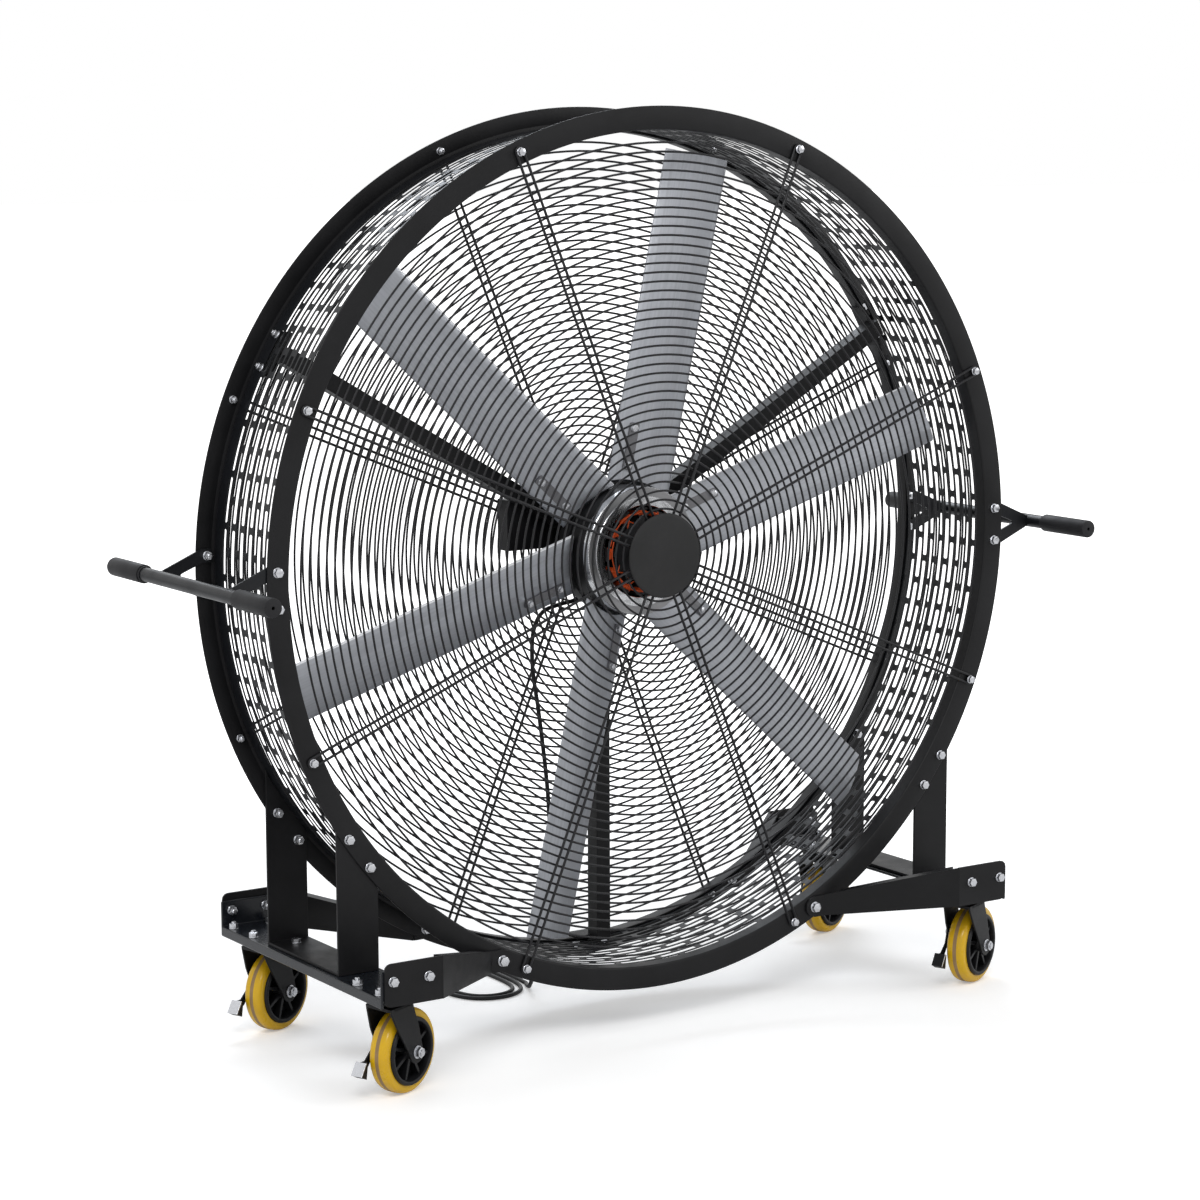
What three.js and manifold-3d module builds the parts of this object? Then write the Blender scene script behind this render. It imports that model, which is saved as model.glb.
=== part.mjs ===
// A drum fan: a perforated drum with a wire guard at each end, a six-blade rotor on an outer-rotor
// motor, and a welded stand on four braked swivel casters.
// Millimetres, +Z up. The drum's axis lies along Y and its front faces -Y.
// The origin is on the floor, under the middle of the drum.

import * as THREE from "three";
import { mergeVertices } from "three/addons/utils/BufferGeometryUtils.js";
import Module from "manifold-3d";

const wasm = await Module();
wasm.setup();

// ---------------------------------------------------------------- fits

const gap = 0.3; // between faces that rest on each other
const pivotGap = 0.4; // all round a pin that something turns on

// ---------------------------------------------------------------- drum

const axisHeight = 876;
const drumDepth = 270;
const drumSides = 36;
const rimInnerRadius = 758;
const rimWidth = 42;
const rimSheet = 3.5;
const collarDepth = 28;
const shellSheet = 2.5;
const slotLength = 96;
const slotWidth = 14;
const slotRows = 5; // each facet has every other one

const rimOuterRadius = rimInnerRadius + rimWidth;
const rimMiddleRadius = rimInnerRadius + rimWidth / 2;
const halfDepth = drumDepth / 2;
const collarOuterRadius = rimInnerRadius + rimSheet;
const shellInnerRadius = collarOuterRadius + gap;
const shellOuterRadius = shellInnerRadius + shellSheet;
const flangeInside = halfDepth - rimSheet;
const slotRowPitch = (flangeInside - collarDepth) / 3;

// ---------------------------------------------------------------- guards

const spokeCount = 8;
const spokeAngle = 22.5; // of the first spoke, from +X towards +Z
const spokeWire = 5;
const spokePairPitch = 15;
const boltCircleRadius = rimMiddleRadius + 2;
const guardRings = 4;
const guardRingSides = 24;
const ringWire = 4;
const ringInset = 13; // from the rim's inner edge to the outermost ring
const guardHubRadius = 64;
const guardHubWidth = 16;
const discRadius = 77;
const discThickness = 4;
const weldDepth = 0.3; // how far a ring sinks into a spoke

// ---------------------------------------------------------------- motor and rotor

const motorSides = 24;
const shaftRadius = 20;
const shaftFront = -84;
const shaftOverhang = 20; // behind the motor mount
const statorRadius = 80;
const statorYokeRadius = 54;
const statorFront = -70;
const statorRear = -18;
const toothCount = 12;
const toothWidth = 15;
const windingEnd = 8; // how far the end turns stand out of the core
const airGap = 4;
const housingThickness = 33.5;
const housingFront = -73;
const housingRear = 30;
const housingWall = 10;
const bearingThickness = 15;
const bladeCount = 6;
const bladeAngle = 77.7; // of the first blade, from +X towards +Z
const bladePitch = 16.3;
const bladeChord = 121;
const bladeThickness = 14;
const bladeAside = 12; // from a line through the axis to the blade's middle
const bladeRootGap = 3; // from the carrier's sleeve
const bladeTipGap = 23; // from the rims' inner edge
const sleeveThickness = 4; // of the carrier, round the motor's housing
const sleeveFront = -5;
const sleeveDepth = 30;
const carrierArmLength = 133; // from the motor's housing
const carrierArmWidth = 46;
const carrierArmThickness = 8;
const carrierArmAside = 18; // to the other side of the line
const bladeSeat = 0; // where the arms' front faces cross the axis
const strapLength = 88;
const strapWidth = 18;
const strapThickness = 5;
const strapStart = 16; // from the blade's root

const mountBehindCollar = 15; // from the mount's rear face to the rear rim's collar
const mountThickness = 8;
const mountPlateRadius = 100;
const mountArmWidth = 30;
const mountArmDepth = 32;
const mountArmSheet = 4;
const mountArmAngles = [30, 150, 270];
const mountFootWidth = 88;
const mountFootDepth = 40;
const mountFootThickness = 6;

const housingInnerRadius = statorRadius + airGap;
const housingOuterRadius = housingInnerRadius + housingThickness;
const bearingOuterRadius = shaftRadius + bearingThickness;
const sleeveInnerRadius = housingOuterRadius + gap;
const sleeveOuterRadius = sleeveInnerRadius + sleeveThickness;
const bladeRootRadius = sleeveOuterRadius + bladeRootGap;
const bladeTipRadius = rimInnerRadius - bladeTipGap;
const carrierArmRadius = housingOuterRadius + carrierArmLength;
const strapInnerRadius = bladeRootRadius + strapStart;
const mountRear = halfDepth - collarDepth - mountBehindCollar;
const mountFront = mountRear - mountThickness;
const mountArmStart = mountPlateRadius / 2;
const shaftRear = mountRear + shaftOverhang;

// ---------------------------------------------------------------- control box

const boxWidth = 122;
const boxHeight = 94;
const boxDepth = 32;
const boxWall = 2;
const boxCentreX = -126;
const boxCentreZ = 43; // above the drum's axis
const boxCoverSheet = 2.5;

// ---------------------------------------------------------------- handles

const handleStandoff = 75; // from the rims' outer edge to the tube's axis
const handleLength = 600;
const handleTubeRadius = 12.5;
const handleTubeWall = 2;
const gripWall = 3.7;
const gripLength = 126;
const gripEndWall = 4;
const gripEndHole = 3;
const bracketSheet = 4;
const bracketBoltHeight = 31;
const bracketArm = 22;

const handleReach = rimOuterRadius + handleStandoff;
const gripRadius = handleTubeRadius + gap + gripWall;
const bracketBoltRadius = rimMiddleRadius + 1;

// ---------------------------------------------------------------- stand

const standInset = 165; // from the rims' outer edge to each base plate's middle
const basePlateSheet = 5;
const basePlateWidth = 100;
const basePlateLength = 594;
const basePlateLip = 18;
const baseEndHeight = 52;
const postWidth = 80;
const postSheet = 5;
const staySheet = 4;
const stayFlatWidth = 114;
const stayFlatDrop = 15; // below the base plate's top
const stayFlatRise = 60; // above it
const stayCorner = 12;
const stayTabBoltX = 348;
const stayTabRadius = 20;
const stayTabLength = 22; // from the bolt to the web
const stayFlange = 22;

const standX = rimOuterRadius - standInset;

// ---------------------------------------------------------------- casters

const casterY = 231;
const casterHeading = 24; // of the trail, from +X towards +Y
const casterTrail = 40;
const wheelRadius = 75;
const wheelSides = 20;
const treadWidth = 37;
const tyreThickness = 15;
const coreWidth = 48;
const coreRim = 8;
const coreHubRadius = 15;
const coreWeb = 14;
const coreSpokes = 5;
const coreSpokeWidth = 9;
const axleRadius = 6;
const casterPlateLength = 105;
const casterPlateClear = 2; // between the plate and the base plate's lip
const casterPlateThickness = 5;
const racewayRadius = 28;
const racewayHeight = 18.4;
const kingpinRadius = 7;
const wheelHeadroom = 16; // from the tread to the crown's top
const crownThickness = 6;
const legThickness = 4;
const legGap = 3.5; // between a leg and the wheel's core
const legEndRadius = 20;
const kingNutHeight = 6;
const axleHeadDepth = 12;
const pedalPivotAhead = 30; // of the axle
const pedalPivotRise = 25; // above the axle
const pedalStudRadius = 4;
const pedalSheet = 3;
const pedalClear = 7; // from the tyre to the pedal's plate
const pedalRise = -7.5; // from the axle to the plate's upper edge
const pedalSlope = 14.5; // how far the plate leans out
const pedalDrop = 21; // from its upper edge to its lower
const pedalPlate = 5; // thickness at its upper edge
const pedalHeel = [15, -8]; // from its lower edge to its heel
const pedalInside = 12; // from the wheel's middle to the plate's near end
const roundSides = 12;

const crownTop = 2 * wheelRadius + wheelHeadroom;
const casterPlateUnder = crownTop + gap + racewayHeight;
const casterPlateTop = casterPlateUnder + casterPlateThickness;
const casterPlateWidth = basePlateWidth - 2 * basePlateSheet - 2 * casterPlateClear;
const basePlateTop = casterPlateTop + gap + basePlateSheet;
const pedalPivotX = casterTrail - pedalPivotAhead;
const pedalPivotZ = wheelRadius + pedalPivotRise;
const pedalPlateX = casterTrail - wheelRadius - pedalClear;
const pedalPlateTop = wheelRadius + pedalRise;

// ---------------------------------------------------------------- cord

const cordRadius = 4;
const floorGap = 0.2;
const clampX = -100;
const clampStandoff = 18; // from the rim's face to the barrel's axis
const clampHeight = 32;
const clampRadius = 8;
const clampSheet = 3;
const loopCentre = [-146, 328];
const loopStartRadius = 91;
const loopDraw = 16.4; // how much the radius shrinks in a turn
const loopTuck = 14; // how much further the last part draws in, to clear the plug
const loopStretch = 68; // half the length of the loops' straight sides
const loopSquareness = 2.5;
const loopStartAngle = -20;
const loopEndAngle = 880;
const loopSteps = 24;
const plugWidth = 22;
const plugHeight = 18;
const plugBodyLength = 34;
const plugNeckLength = 22;
const plugPinLength = 18;
const plugPinRadius = 2.4;

const clampY = halfDepth + clampStandoff;
const clampMiddle = axisHeight - Math.sqrt((rimMiddleRadius + 2) ** 2 - clampX ** 2);
const clampTop = clampMiddle + clampHeight / 2;
const clampBottom = clampMiddle - clampHeight / 2;

// ---------------------------------------------------------------- materials

function finish(colour, roughness, metalness) {
  return () => new THREE.MeshStandardMaterial({ color: colour, roughness, metalness });
}
const blackPaint = finish(0x1d1e20, 0.55, 0.1);
const blackWire = finish(0x15161a, 0.5, 0.2);
const aluminium = finish(0x9b9ea6, 0.35, 0.9);
const brightAluminium = finish(0xc8cacf, 0.2, 1);
const steel = finish(0xb4b4b4, 0.3, 1);
const zinc = finish(0xc9cace, 0.3, 1);
const copper = finish(0xb4431c, 0.45, 0.4);
const laminate = finish(0x242424, 0.6, 0.3);
const blackPlastic = finish(0x17181a, 0.5, 0);
const blackRubber = finish(0x161616, 0.75, 0);
const yellowTread = finish(0xd9a916, 0.35, 0);

// ---------------------------------------------------------------- shape helpers

const radians = THREE.MathUtils.degToRad;

function solidOf(geometry) {
  const plain = geometry.clone();
  plain.deleteAttribute("normal");
  plain.deleteAttribute("uv");
  const merged = mergeVertices(plain, 1e-4);
  return new wasm.Manifold(
    new wasm.Mesh({
      numProp: 3,
      vertProperties: merged.attributes.position.array,
      triVerts: new Uint32Array(merged.index.array),
    }),
  );
}

function geometryOf(solid) {
  const mesh = solid.getMesh();
  const geometry = new THREE.BufferGeometry();
  geometry.setAttribute("position", new THREE.BufferAttribute(mesh.vertProperties, 3));
  geometry.setIndex(new THREE.BufferAttribute(mesh.triVerts, 1));
  const flat = geometry.toNonIndexed();
  flat.computeVertexNormals();
  return flat;
}

function joined(...geometries) {
  return geometryOf(geometries.map(solidOf).reduce((whole, piece) => whole.add(piece)));
}

function cut(geometry, ...tools) {
  const taken = tools.map(solidOf).reduce((whole, piece) => whole.add(piece));
  return geometryOf(solidOf(geometry).subtract(taken));
}

// A box from its lowest corner to its highest.
function block(low, high) {
  const [sizeX, sizeY, sizeZ] = high.map((value, i) => value - low[i]);
  const geometry = new THREE.BoxGeometry(sizeX, sizeY, sizeZ);
  return geometry.translate(low[0] + sizeX / 2, low[1] + sizeY / 2, low[2] + sizeZ / 2);
}

// Turns a closed profile of [radius, y] points about Y. The points run anticlockwise.
function turned(profile, sides) {
  const points = [...profile, profile[0]].map(([radius, y]) => new THREE.Vector2(radius, y));
  return new THREE.LatheGeometry(points, sides);
}

// A tube about Y, or a full round bar where the inner radius is 0.
function tube(innerRadius, outerRadius, low, high, sides) {
  return turned(
    [
      [innerRadius, low],
      [outerRadius, low],
      [outerRadius, high],
      [innerRadius, high],
    ],
    sides,
  );
}

// A tube about Z at (x, y).
function post(innerRadius, outerRadius, low, high, sides, x = 0, y = 0) {
  return tube(innerRadius, outerRadius, low, high, sides).rotateX(Math.PI / 2).translate(x, y, 0);
}

// The radius of a polygon's corners whose flats lie at the given radius.
function aroundFlats(radius, sides) {
  return radius / Math.cos(Math.PI / sides);
}

function outline(points) {
  return new THREE.Shape(points.map(([x, y]) => new THREE.Vector2(x, y)));
}

// A flat sheet lying level, from low upwards.
function levelSheet(shape, thickness, low) {
  const geometry = new THREE.ExtrudeGeometry(shape, { depth: thickness, bevelEnabled: false });
  return geometry.translate(0, 0, low);
}

// A flat sheet standing across Y: the outline's (x, y) become (x, z). It starts at front.
function uprightSheet(shape, thickness, front) {
  const geometry = new THREE.ExtrudeGeometry(shape, { depth: thickness, bevelEnabled: false });
  return geometry.rotateX(Math.PI / 2).translate(0, front + thickness, 0);
}

// Points on an arc about a centre, both ends included. Degrees, from +X towards +Y.
function arc(centre, radius, from, to, steps) {
  return Array.from({ length: steps + 1 }, (_, i) => {
    const angle = radians(from + ((to - from) * i) / steps);
    return [centre[0] + radius * Math.cos(angle), centre[1] + radius * Math.sin(angle)];
  });
}

// A round bar along a smooth curve.
function cable(curve, steps, sides) {
  const section = outline(arc([0, 0], cordRadius, 0, 360 - 360 / sides, sides - 1));
  return new THREE.ExtrudeGeometry(section, { extrudePath: curve, steps, bevelEnabled: false });
}

// ---------------------------------------------------------------- scene graph

const fan = new THREE.Group();
const drum = new THREE.Group();
drum.position.z = axisHeight;
fan.add(drum);

function addTo(group, name, geometry, material) {
  const mesh = new THREE.Mesh(geometry, material());
  mesh.name = name;
  group.add(mesh);
  return mesh;
}

// ---------------------------------------------------------------- drum and rims

function drumShell() {
  const shell = tube(
    shellInnerRadius,
    shellOuterRadius,
    -flangeInside + gap,
    flangeInside - gap,
    drumSides,
  );
  const slots = [];
  for (let side = 0; side < drumSides; side += 1) {
    for (let row = side % 2; row < slotRows; row += 2) {
      const slot = new THREE.BoxGeometry(slotLength, slotWidth, shellSheet * 12);
      slot.translate(0, (row - (slotRows - 1) / 2) * slotRowPitch, shellOuterRadius);
      slots.push(slot.rotateY(radians((360 / drumSides) * (side + 0.5))));
    }
  }
  return cut(shell, ...slots);
}

// An angle ring: a flat flange, and a collar that the shell slips over.
function rim() {
  return turned(
    [
      [rimInnerRadius, -halfDepth],
      [rimOuterRadius, -halfDepth],
      [rimOuterRadius, -flangeInside],
      [collarOuterRadius, -flangeInside],
      [collarOuterRadius, collarDepth - halfDepth],
      [rimInnerRadius, collarDepth - halfDepth],
    ],
    drumSides,
  );
}

addTo(drum, "drum_shell", drumShell(), blackPaint);
addTo(drum, "front_rim", rim(), blackPaint);
addTo(drum, "rear_rim", rim(), blackPaint).rotation.z = Math.PI;

// ---------------------------------------------------------------- guards

const spokeFront = -halfDepth - gap - spokeWire;
const spokeBack = spokeFront + spokeWire;
const ringRadius = rimInnerRadius - ringInset;

// A spoke is one wire bent into a hairpin that loops round its bolt on the rim.
function hairpin() {
  const outer = (spokePairPitch + spokeWire) / 2;
  const inner = (spokePairPitch - spokeWire) / 2;
  const bolt = [boltCircleRadius, 0];
  const shape = outline([
    [guardHubRadius, -outer],
    ...arc(bolt, outer, -90, 90, 4),
    [guardHubRadius, outer],
    [guardHubRadius, inner],
    ...arc(bolt, inner, 90, -90, 4),
    [guardHubRadius, -inner],
  ]);
  return uprightSheet(shape, spokeWire, spokeFront);
}

function guard() {
  const ringFront = spokeBack - weldDepth;
  const pieces = [];
  for (let i = 0; i < spokeCount; i += 1) {
    pieces.push(hairpin().rotateY(-radians(spokeAngle + (360 / spokeCount) * i)));
  }
  const step = (ringRadius - guardHubRadius) / guardRings;
  for (let i = 1; i <= guardRings; i += 1) {
    const middle = guardHubRadius + step * i;
    const low = middle - ringWire / 2;
    pieces.push(tube(low, low + ringWire, ringFront, ringFront + ringWire, guardRingSides));
  }
  const hubLow = guardHubRadius - guardHubWidth / 2;
  const hub = tube(hubLow, hubLow + guardHubWidth, ringFront, ringFront + ringWire, guardRingSides);
  return joined(hub, ...pieces);
}

addTo(drum, "front_guard", guard(), blackWire);
addTo(drum, "rear_guard", guard(), blackWire).rotation.z = Math.PI;
addTo(
  drum,
  "front_guard_disc",
  tube(0, discRadius, spokeFront - gap - discThickness, spokeFront - gap, drumSides),
  blackPaint,
);

// ---------------------------------------------------------------- motor

// A plate on three arms, each a channel with its open side to the rear. Each arm ends in a foot
// that lies against the rear rim's collar.
function motorMount() {
  const footTop = rimInnerRadius - (mountFootWidth / 2) * Math.tan(Math.PI / drumSides) - gap;
  const pieces = mountArmAngles.map((angle) => {
    const arm = block(
      [mountArmStart, mountRear - mountArmDepth, -mountArmWidth / 2],
      [footTop - 1, mountRear, mountArmWidth / 2],
    );
    const channel = block(
      [mountPlateRadius + 5, mountRear - mountArmDepth + mountArmSheet, mountArmSheet - mountArmWidth / 2],
      [footTop - mountFootThickness, mountRear + 1, mountArmWidth / 2 - mountArmSheet],
    );
    const foot = block(
      [footTop - mountFootThickness, mountFront, -mountFootWidth / 2],
      [footTop, mountFront + mountFootDepth, mountFootWidth / 2],
    );
    return joined(cut(arm, channel), foot).rotateY(-radians(angle));
  });
  const plate = tube(0, mountPlateRadius, mountFront, mountRear, motorSides);
  const bore = tube(0, shaftRadius + gap, mountFront - 1, mountRear + 1, motorSides);
  return cut(joined(plate, ...pieces), bore);
}

function statorCore() {
  const yoke = tube(shaftRadius + gap, statorYokeRadius, statorFront, statorRear, motorSides);
  const teeth = Array.from({ length: toothCount }, (_, i) =>
    block(
      [statorYokeRadius - 4, statorFront, -toothWidth / 2],
      [statorRadius, statorRear, toothWidth / 2],
    ).rotateY(radians((360 / toothCount) * i)),
  );
  return joined(yoke, ...teeth);
}

// One ring of end turns in front of the core, with a bundle that fills each slot behind it.
function statorWindings() {
  const inner = statorYokeRadius + gap;
  const outer = statorRadius - 3;
  const front = statorFront - gap - windingEnd;
  const ring = tube(inner, outer, front, statorRear, motorSides);
  const clear = toothWidth / 2 + gap;
  const slots = Array.from({ length: toothCount }, (_, i) =>
    block(
      [inner - 5, statorFront - gap, -clear],
      [outer + 5, statorRear + 1, clear],
    ).rotateY(radians((360 / toothCount) * i)),
  );
  return cut(ring, ...slots);
}

// A cup, open to the front, that turns round the stator.
function rotorHousing() {
  return turned(
    [
      [bearingOuterRadius + gap, housingRear - housingWall],
      [housingInnerRadius, housingRear - housingWall],
      [housingInnerRadius, housingFront],
      [housingOuterRadius, housingFront],
      [housingOuterRadius, housingRear],
      [bearingOuterRadius + gap, housingRear],
    ],
    motorSides,
  );
}

addTo(drum, "motor_mount", motorMount(), blackPaint);
addTo(drum, "motor_shaft", tube(0, shaftRadius, shaftFront, shaftRear, motorSides), steel);
addTo(drum, "stator_core", statorCore(), laminate);
addTo(drum, "stator_windings", statorWindings(), copper);
addTo(drum, "rotor_housing", rotorHousing(), brightAluminium);
addTo(
  drum,
  "rotor_bearing",
  tube(
    aroundFlats(shaftRadius + gap, motorSides),
    bearingOuterRadius,
    housingRear - housingWall,
    housingRear,
    motorSides,
  ),
  steel,
);

// ---------------------------------------------------------------- blades

// Where blade number i points, as a turn about Y from straight up.
function bladeTurn(i) {
  return radians(90 - bladeAngle - (360 / bladeCount) * i);
}

// A sleeve on the motor's housing, with an arm behind each blade.
function bladeCarrier() {
  const sleeve = tube(
    sleeveInnerRadius,
    sleeveOuterRadius,
    sleeveFront,
    sleeveFront + sleeveDepth,
    motorSides,
  );
  const armStart = sleeveInnerRadius + sleeveThickness / 2;
  const arms = Array.from({ length: bladeCount }, (_, i) =>
    block(
      [-carrierArmAside - carrierArmWidth / 2, 0, armStart - 25],
      [-carrierArmAside + carrierArmWidth / 2, carrierArmThickness, carrierArmRadius],
    )
      .rotateZ(-radians(bladePitch))
      .translate(0, bladeSeat, 0)
      .rotateY(bladeTurn(i)),
  );
  const bore = tube(
    0,
    sleeveInnerRadius,
    sleeveFront - 20,
    sleeveFront + sleeveDepth + 20,
    motorSides,
  );
  return cut(joined(sleeve, ...arms), bore);
}

// A straight aerofoil with a flat back. It stands up along Z, its nose to +X, and its root is cut
// round the carrier's sleeve. A strap over the arm clamps it.
function blade() {
  const half = bladeChord / 2;
  const section = outline([
    [-half, 0],
    [-half + 2, -2],
    [-half * 0.4, -bladeThickness * 0.72],
    [half * 0.15, -bladeThickness],
    [half * 0.62, -bladeThickness * 0.86],
    [half * 0.92, -bladeThickness * 0.45],
    [half, -2],
    [half * 0.97, 0],
  ]);
  const reach = Math.sqrt(bladeTipRadius ** 2 - (half + bladeAside) ** 2);
  const wing = levelSheet(section, reach - bladeRootRadius / 2, bladeRootRadius / 2);
  const strap = block(
    [-carrierArmAside - strapWidth / 2, -bladeThickness * 0.6 - strapThickness, strapInnerRadius],
    [-carrierArmAside + strapWidth / 2, -2, strapInnerRadius + strapLength],
  );
  const root = tube(0, bladeRootRadius, -bladeThickness - 1, 1, motorSides * 2);
  return joined(cut(wing.translate(bladeAside, 0, 0), root), strap).translate(0, -gap, 0);
}

addTo(drum, "blade_carrier", bladeCarrier(), blackPaint);
for (let i = 0; i < bladeCount; i += 1) {
  const turn = new THREE.Group();
  turn.rotation.y = bladeTurn(i);
  drum.add(turn);
  const mesh = addTo(turn, `blade_${i + 1}`, blade(), aluminium);
  mesh.position.y = bladeSeat;
  mesh.rotation.z = -radians(bladePitch);
}

// ---------------------------------------------------------------- control box

function controlBox() {
  const front = mountRear + gap;
  const low = [boxCentreX - boxWidth / 2, front, boxCentreZ - boxHeight / 2];
  const high = [boxCentreX + boxWidth / 2, front + boxDepth, boxCentreZ + boxHeight / 2];
  const cavity = block(
    [low[0] + boxWall, low[1] + boxWall, low[2] + boxWall],
    [high[0] - boxWall, high[1] + 1, high[2] - boxWall],
  );
  const lidFront = high[1] + gap;
  const lid = block([low[0], lidFront, low[2]], [high[0], lidFront + boxCoverSheet, high[2]]);
  addTo(drum, "control_box", cut(block(low, high), cavity), blackPlastic);
  addTo(drum, "control_box_cover", lid, blackPlastic);
}
controlBox();

// ---------------------------------------------------------------- handles

// A tube beside the drum, welded into a forked bracket on the inner side of each rim.
function handle() {
  const endY = handleLength / 2 - gripEndWall - gap;
  const bar = tube(
    handleTubeRadius - handleTubeWall,
    handleTubeRadius,
    -endY,
    endY,
    roundSides,
  ).translate(handleReach, 0, 0);
  const tip = handleReach - handleTubeRadius + handleTubeWall * 0.7;
  const low = bracketBoltRadius - 12;
  const ear = bracketBoltHeight + 12;
  const crotch = bracketBoltHeight - 12;
  const fork = outline([
    [low, crotch],
    [low, ear],
    [low + bracketArm, ear],
    [tip, handleTubeRadius * 0.9],
    [tip, -handleTubeRadius * 0.9],
    [low + bracketArm, -ear],
    [low, -ear],
    [low, -crotch],
    [low + bracketArm, -crotch],
    [tip - bracketArm * 1.4, 0],
    [low + bracketArm, crotch],
  ]);
  const rear = flangeInside - gap - bracketSheet;
  const front = -flangeInside + gap;
  return joined(
    bar,
    uprightSheet(fork, bracketSheet, front),
    uprightSheet(fork, bracketSheet, rear),
  );
}

// A sleeve over the tube's end, at +Y, with a small vent in its end wall.
function grip() {
  const end = handleLength / 2;
  const bore = aroundFlats(handleTubeRadius + gap, roundSides);
  return turned(
    [
      [gripEndHole, end - gripEndWall],
      [bore, end - gripEndWall],
      [bore, end - gripLength],
      [gripRadius, end - gripLength],
      [gripRadius, end],
      [gripEndHole, end],
    ],
    roundSides,
  );
}

for (const [side, sign] of [
  ["left", -1],
  ["right", 1],
]) {
  addTo(drum, `${side}_handle`, handle(), blackPaint).scale.x = sign;
  for (const [end, way] of [
    ["front", -1],
    ["rear", 1],
  ]) {
    const sleeve = addTo(drum, `${side}_${end}_grip`, grip(), blackRubber);
    sleeve.position.x = sign * handleReach;
    sleeve.scale.y = way;
  }
}

// ---------------------------------------------------------------- stand

// A folded plate: a lip hangs from its outer edge, and its ends turn up for the stays.
function basePlate() {
  const low = standX - basePlateWidth / 2;
  const high = standX + basePlateWidth / 2;
  const half = basePlateLength / 2;
  const under = basePlateTop - basePlateSheet;
  return joined(
    block([low, -half, under], [high, half, basePlateTop]),
    block([high - basePlateSheet, -half, basePlateTop - basePlateLip], [high, half, basePlateTop]),
    block([low, -half, under], [high, basePlateSheet - half, under + baseEndHeight]),
    block([low, half - basePlateSheet, under], [high, half, under + baseEndHeight]),
  );
}

// One strip bent into two posts: it lies on the base plate, and each post stands behind a rim's
// flange and stops short of the shell.
function postFrame() {
  const face = flangeInside - gap;
  const foot = basePlateTop + gap;
  const low = standX - postWidth / 2;
  const high = standX + postWidth / 2;
  const reach = shellOuterRadius + 2;
  const top = axisHeight - Math.sqrt(reach ** 2 - high ** 2) + 10;
  const strip = block([low, -face, foot], [high, face, foot + postSheet]);
  const frontPost = block([low, -face, foot], [high, -face + postSheet, top]);
  const rearPost = block([low, face - postSheet, foot], [high, face, top]);
  const drumSpace = tube(0, reach, -face - 1, face + 1, drumSides).translate(0, 0, axisHeight);
  return cut(joined(strip, frontPost, rearPost), drumSpace);
}

// A bent brace at the front of the right side: flat on the base plate's end, then a tapered web
// that runs inwards and forwards of the drum, then a tab on the rim's face.
function stay() {
  const flatFront = -basePlateLength / 2 - gap - staySheet;
  const tabFront = -halfDepth - gap - staySheet;
  const flatOuter = standX + basePlateWidth / 2 - 5;
  const flatInner = flatOuter - stayFlatWidth;
  const flatBottom = basePlateTop - stayFlatDrop;
  const flatTop = basePlateTop + stayFlatRise;
  const tabBoltZ = axisHeight - Math.sqrt((rimMiddleRadius + 2) ** 2 - stayTabBoltX ** 2);
  const webEnd = stayTabBoltX + stayTabLength;
  const webEndTop = tabBoltZ + stayTabRadius;
  const webEndBottom = tabBoltZ - stayTabRadius;
  const corners = [
    ...arc([flatOuter - stayCorner, flatBottom + stayCorner], stayCorner, -90, 0, 3),
    ...arc([flatOuter - stayCorner, flatTop - stayCorner], stayCorner, 0, 90, 3),
  ];
  const flat = uprightSheet(
    outline([[flatInner, flatBottom], ...corners, [flatInner, flatTop]]),
    staySheet,
    flatFront,
  );
  const tab = uprightSheet(
    outline([
      [webEnd, webEndBottom],
      [webEnd, webEndTop],
      ...arc([stayTabBoltX, tabBoltZ], stayTabRadius, 90, 270, 5),
    ]),
    staySheet,
    tabFront,
  );
  const run = Math.hypot(flatInner - webEnd, tabFront - flatFront);
  const slope = Math.atan2(tabFront - flatFront, flatInner - webEnd);
  const drop = (flatTop - webEndTop) / run;
  const web = uprightSheet(
    outline([
      [-run - 1, webEndBottom],
      [1, flatBottom],
      [1, flatTop],
      [-run - 1, webEndTop],
    ]),
    staySheet,
    0,
  );
  const flangeStart = -12;
  const flangeEnd = -run + 30;
  const flange = uprightSheet(
    outline([
      [flangeEnd, flatTop + drop * flangeEnd],
      [flangeEnd, flatTop + drop * flangeEnd - staySheet],
      [flangeStart, flatTop + drop * flangeStart - staySheet],
      [flangeStart, flatTop + drop * flangeStart],
    ]),
    stayFlange,
    0,
  );
  const bent = joined(web, flange)
    .rotateZ(-slope)
    .translate(flatInner, flatFront, 0);
  return joined(flat, bent, tab);
}

for (const [side, sign] of [
  ["left", -1],
  ["right", 1],
]) {
  addTo(fan, `${side}_base_plate`, basePlate(), blackPaint).scale.x = sign;
  addTo(fan, `${side}_post_frame`, postFrame(), blackPaint).scale.x = sign;
  for (const [end, way] of [
    ["front", 1],
    ["rear", -1],
  ]) {
    addTo(fan, `${end}_${side}_stay`, stay(), blackPaint).scale.set(sign, way, 1);
  }
}

// ---------------------------------------------------------------- casters

// The top plate, with the upper race and the king pin and its nut, on which the fork turns.
function casterPlate() {
  const crownUnder = crownTop - crownThickness;
  return joined(
    block(
      [-casterPlateWidth / 2, -casterPlateLength / 2, casterPlateUnder],
      [casterPlateWidth / 2, casterPlateLength / 2, casterPlateTop],
    ),
    post(0, racewayRadius, crownTop + gap, casterPlateUnder + 1, roundSides),
    post(0, kingpinRadius, crownUnder - kingNutHeight, crownTop + 1, roundSides),
    post(0, kingpinRadius + 5, crownUnder - kingNutHeight, crownUnder - gap, 6),
  );
}

const legInside = Math.max(coreWidth, treadWidth) / 2 + legGap;
const legOutside = legInside + legThickness;

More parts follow.
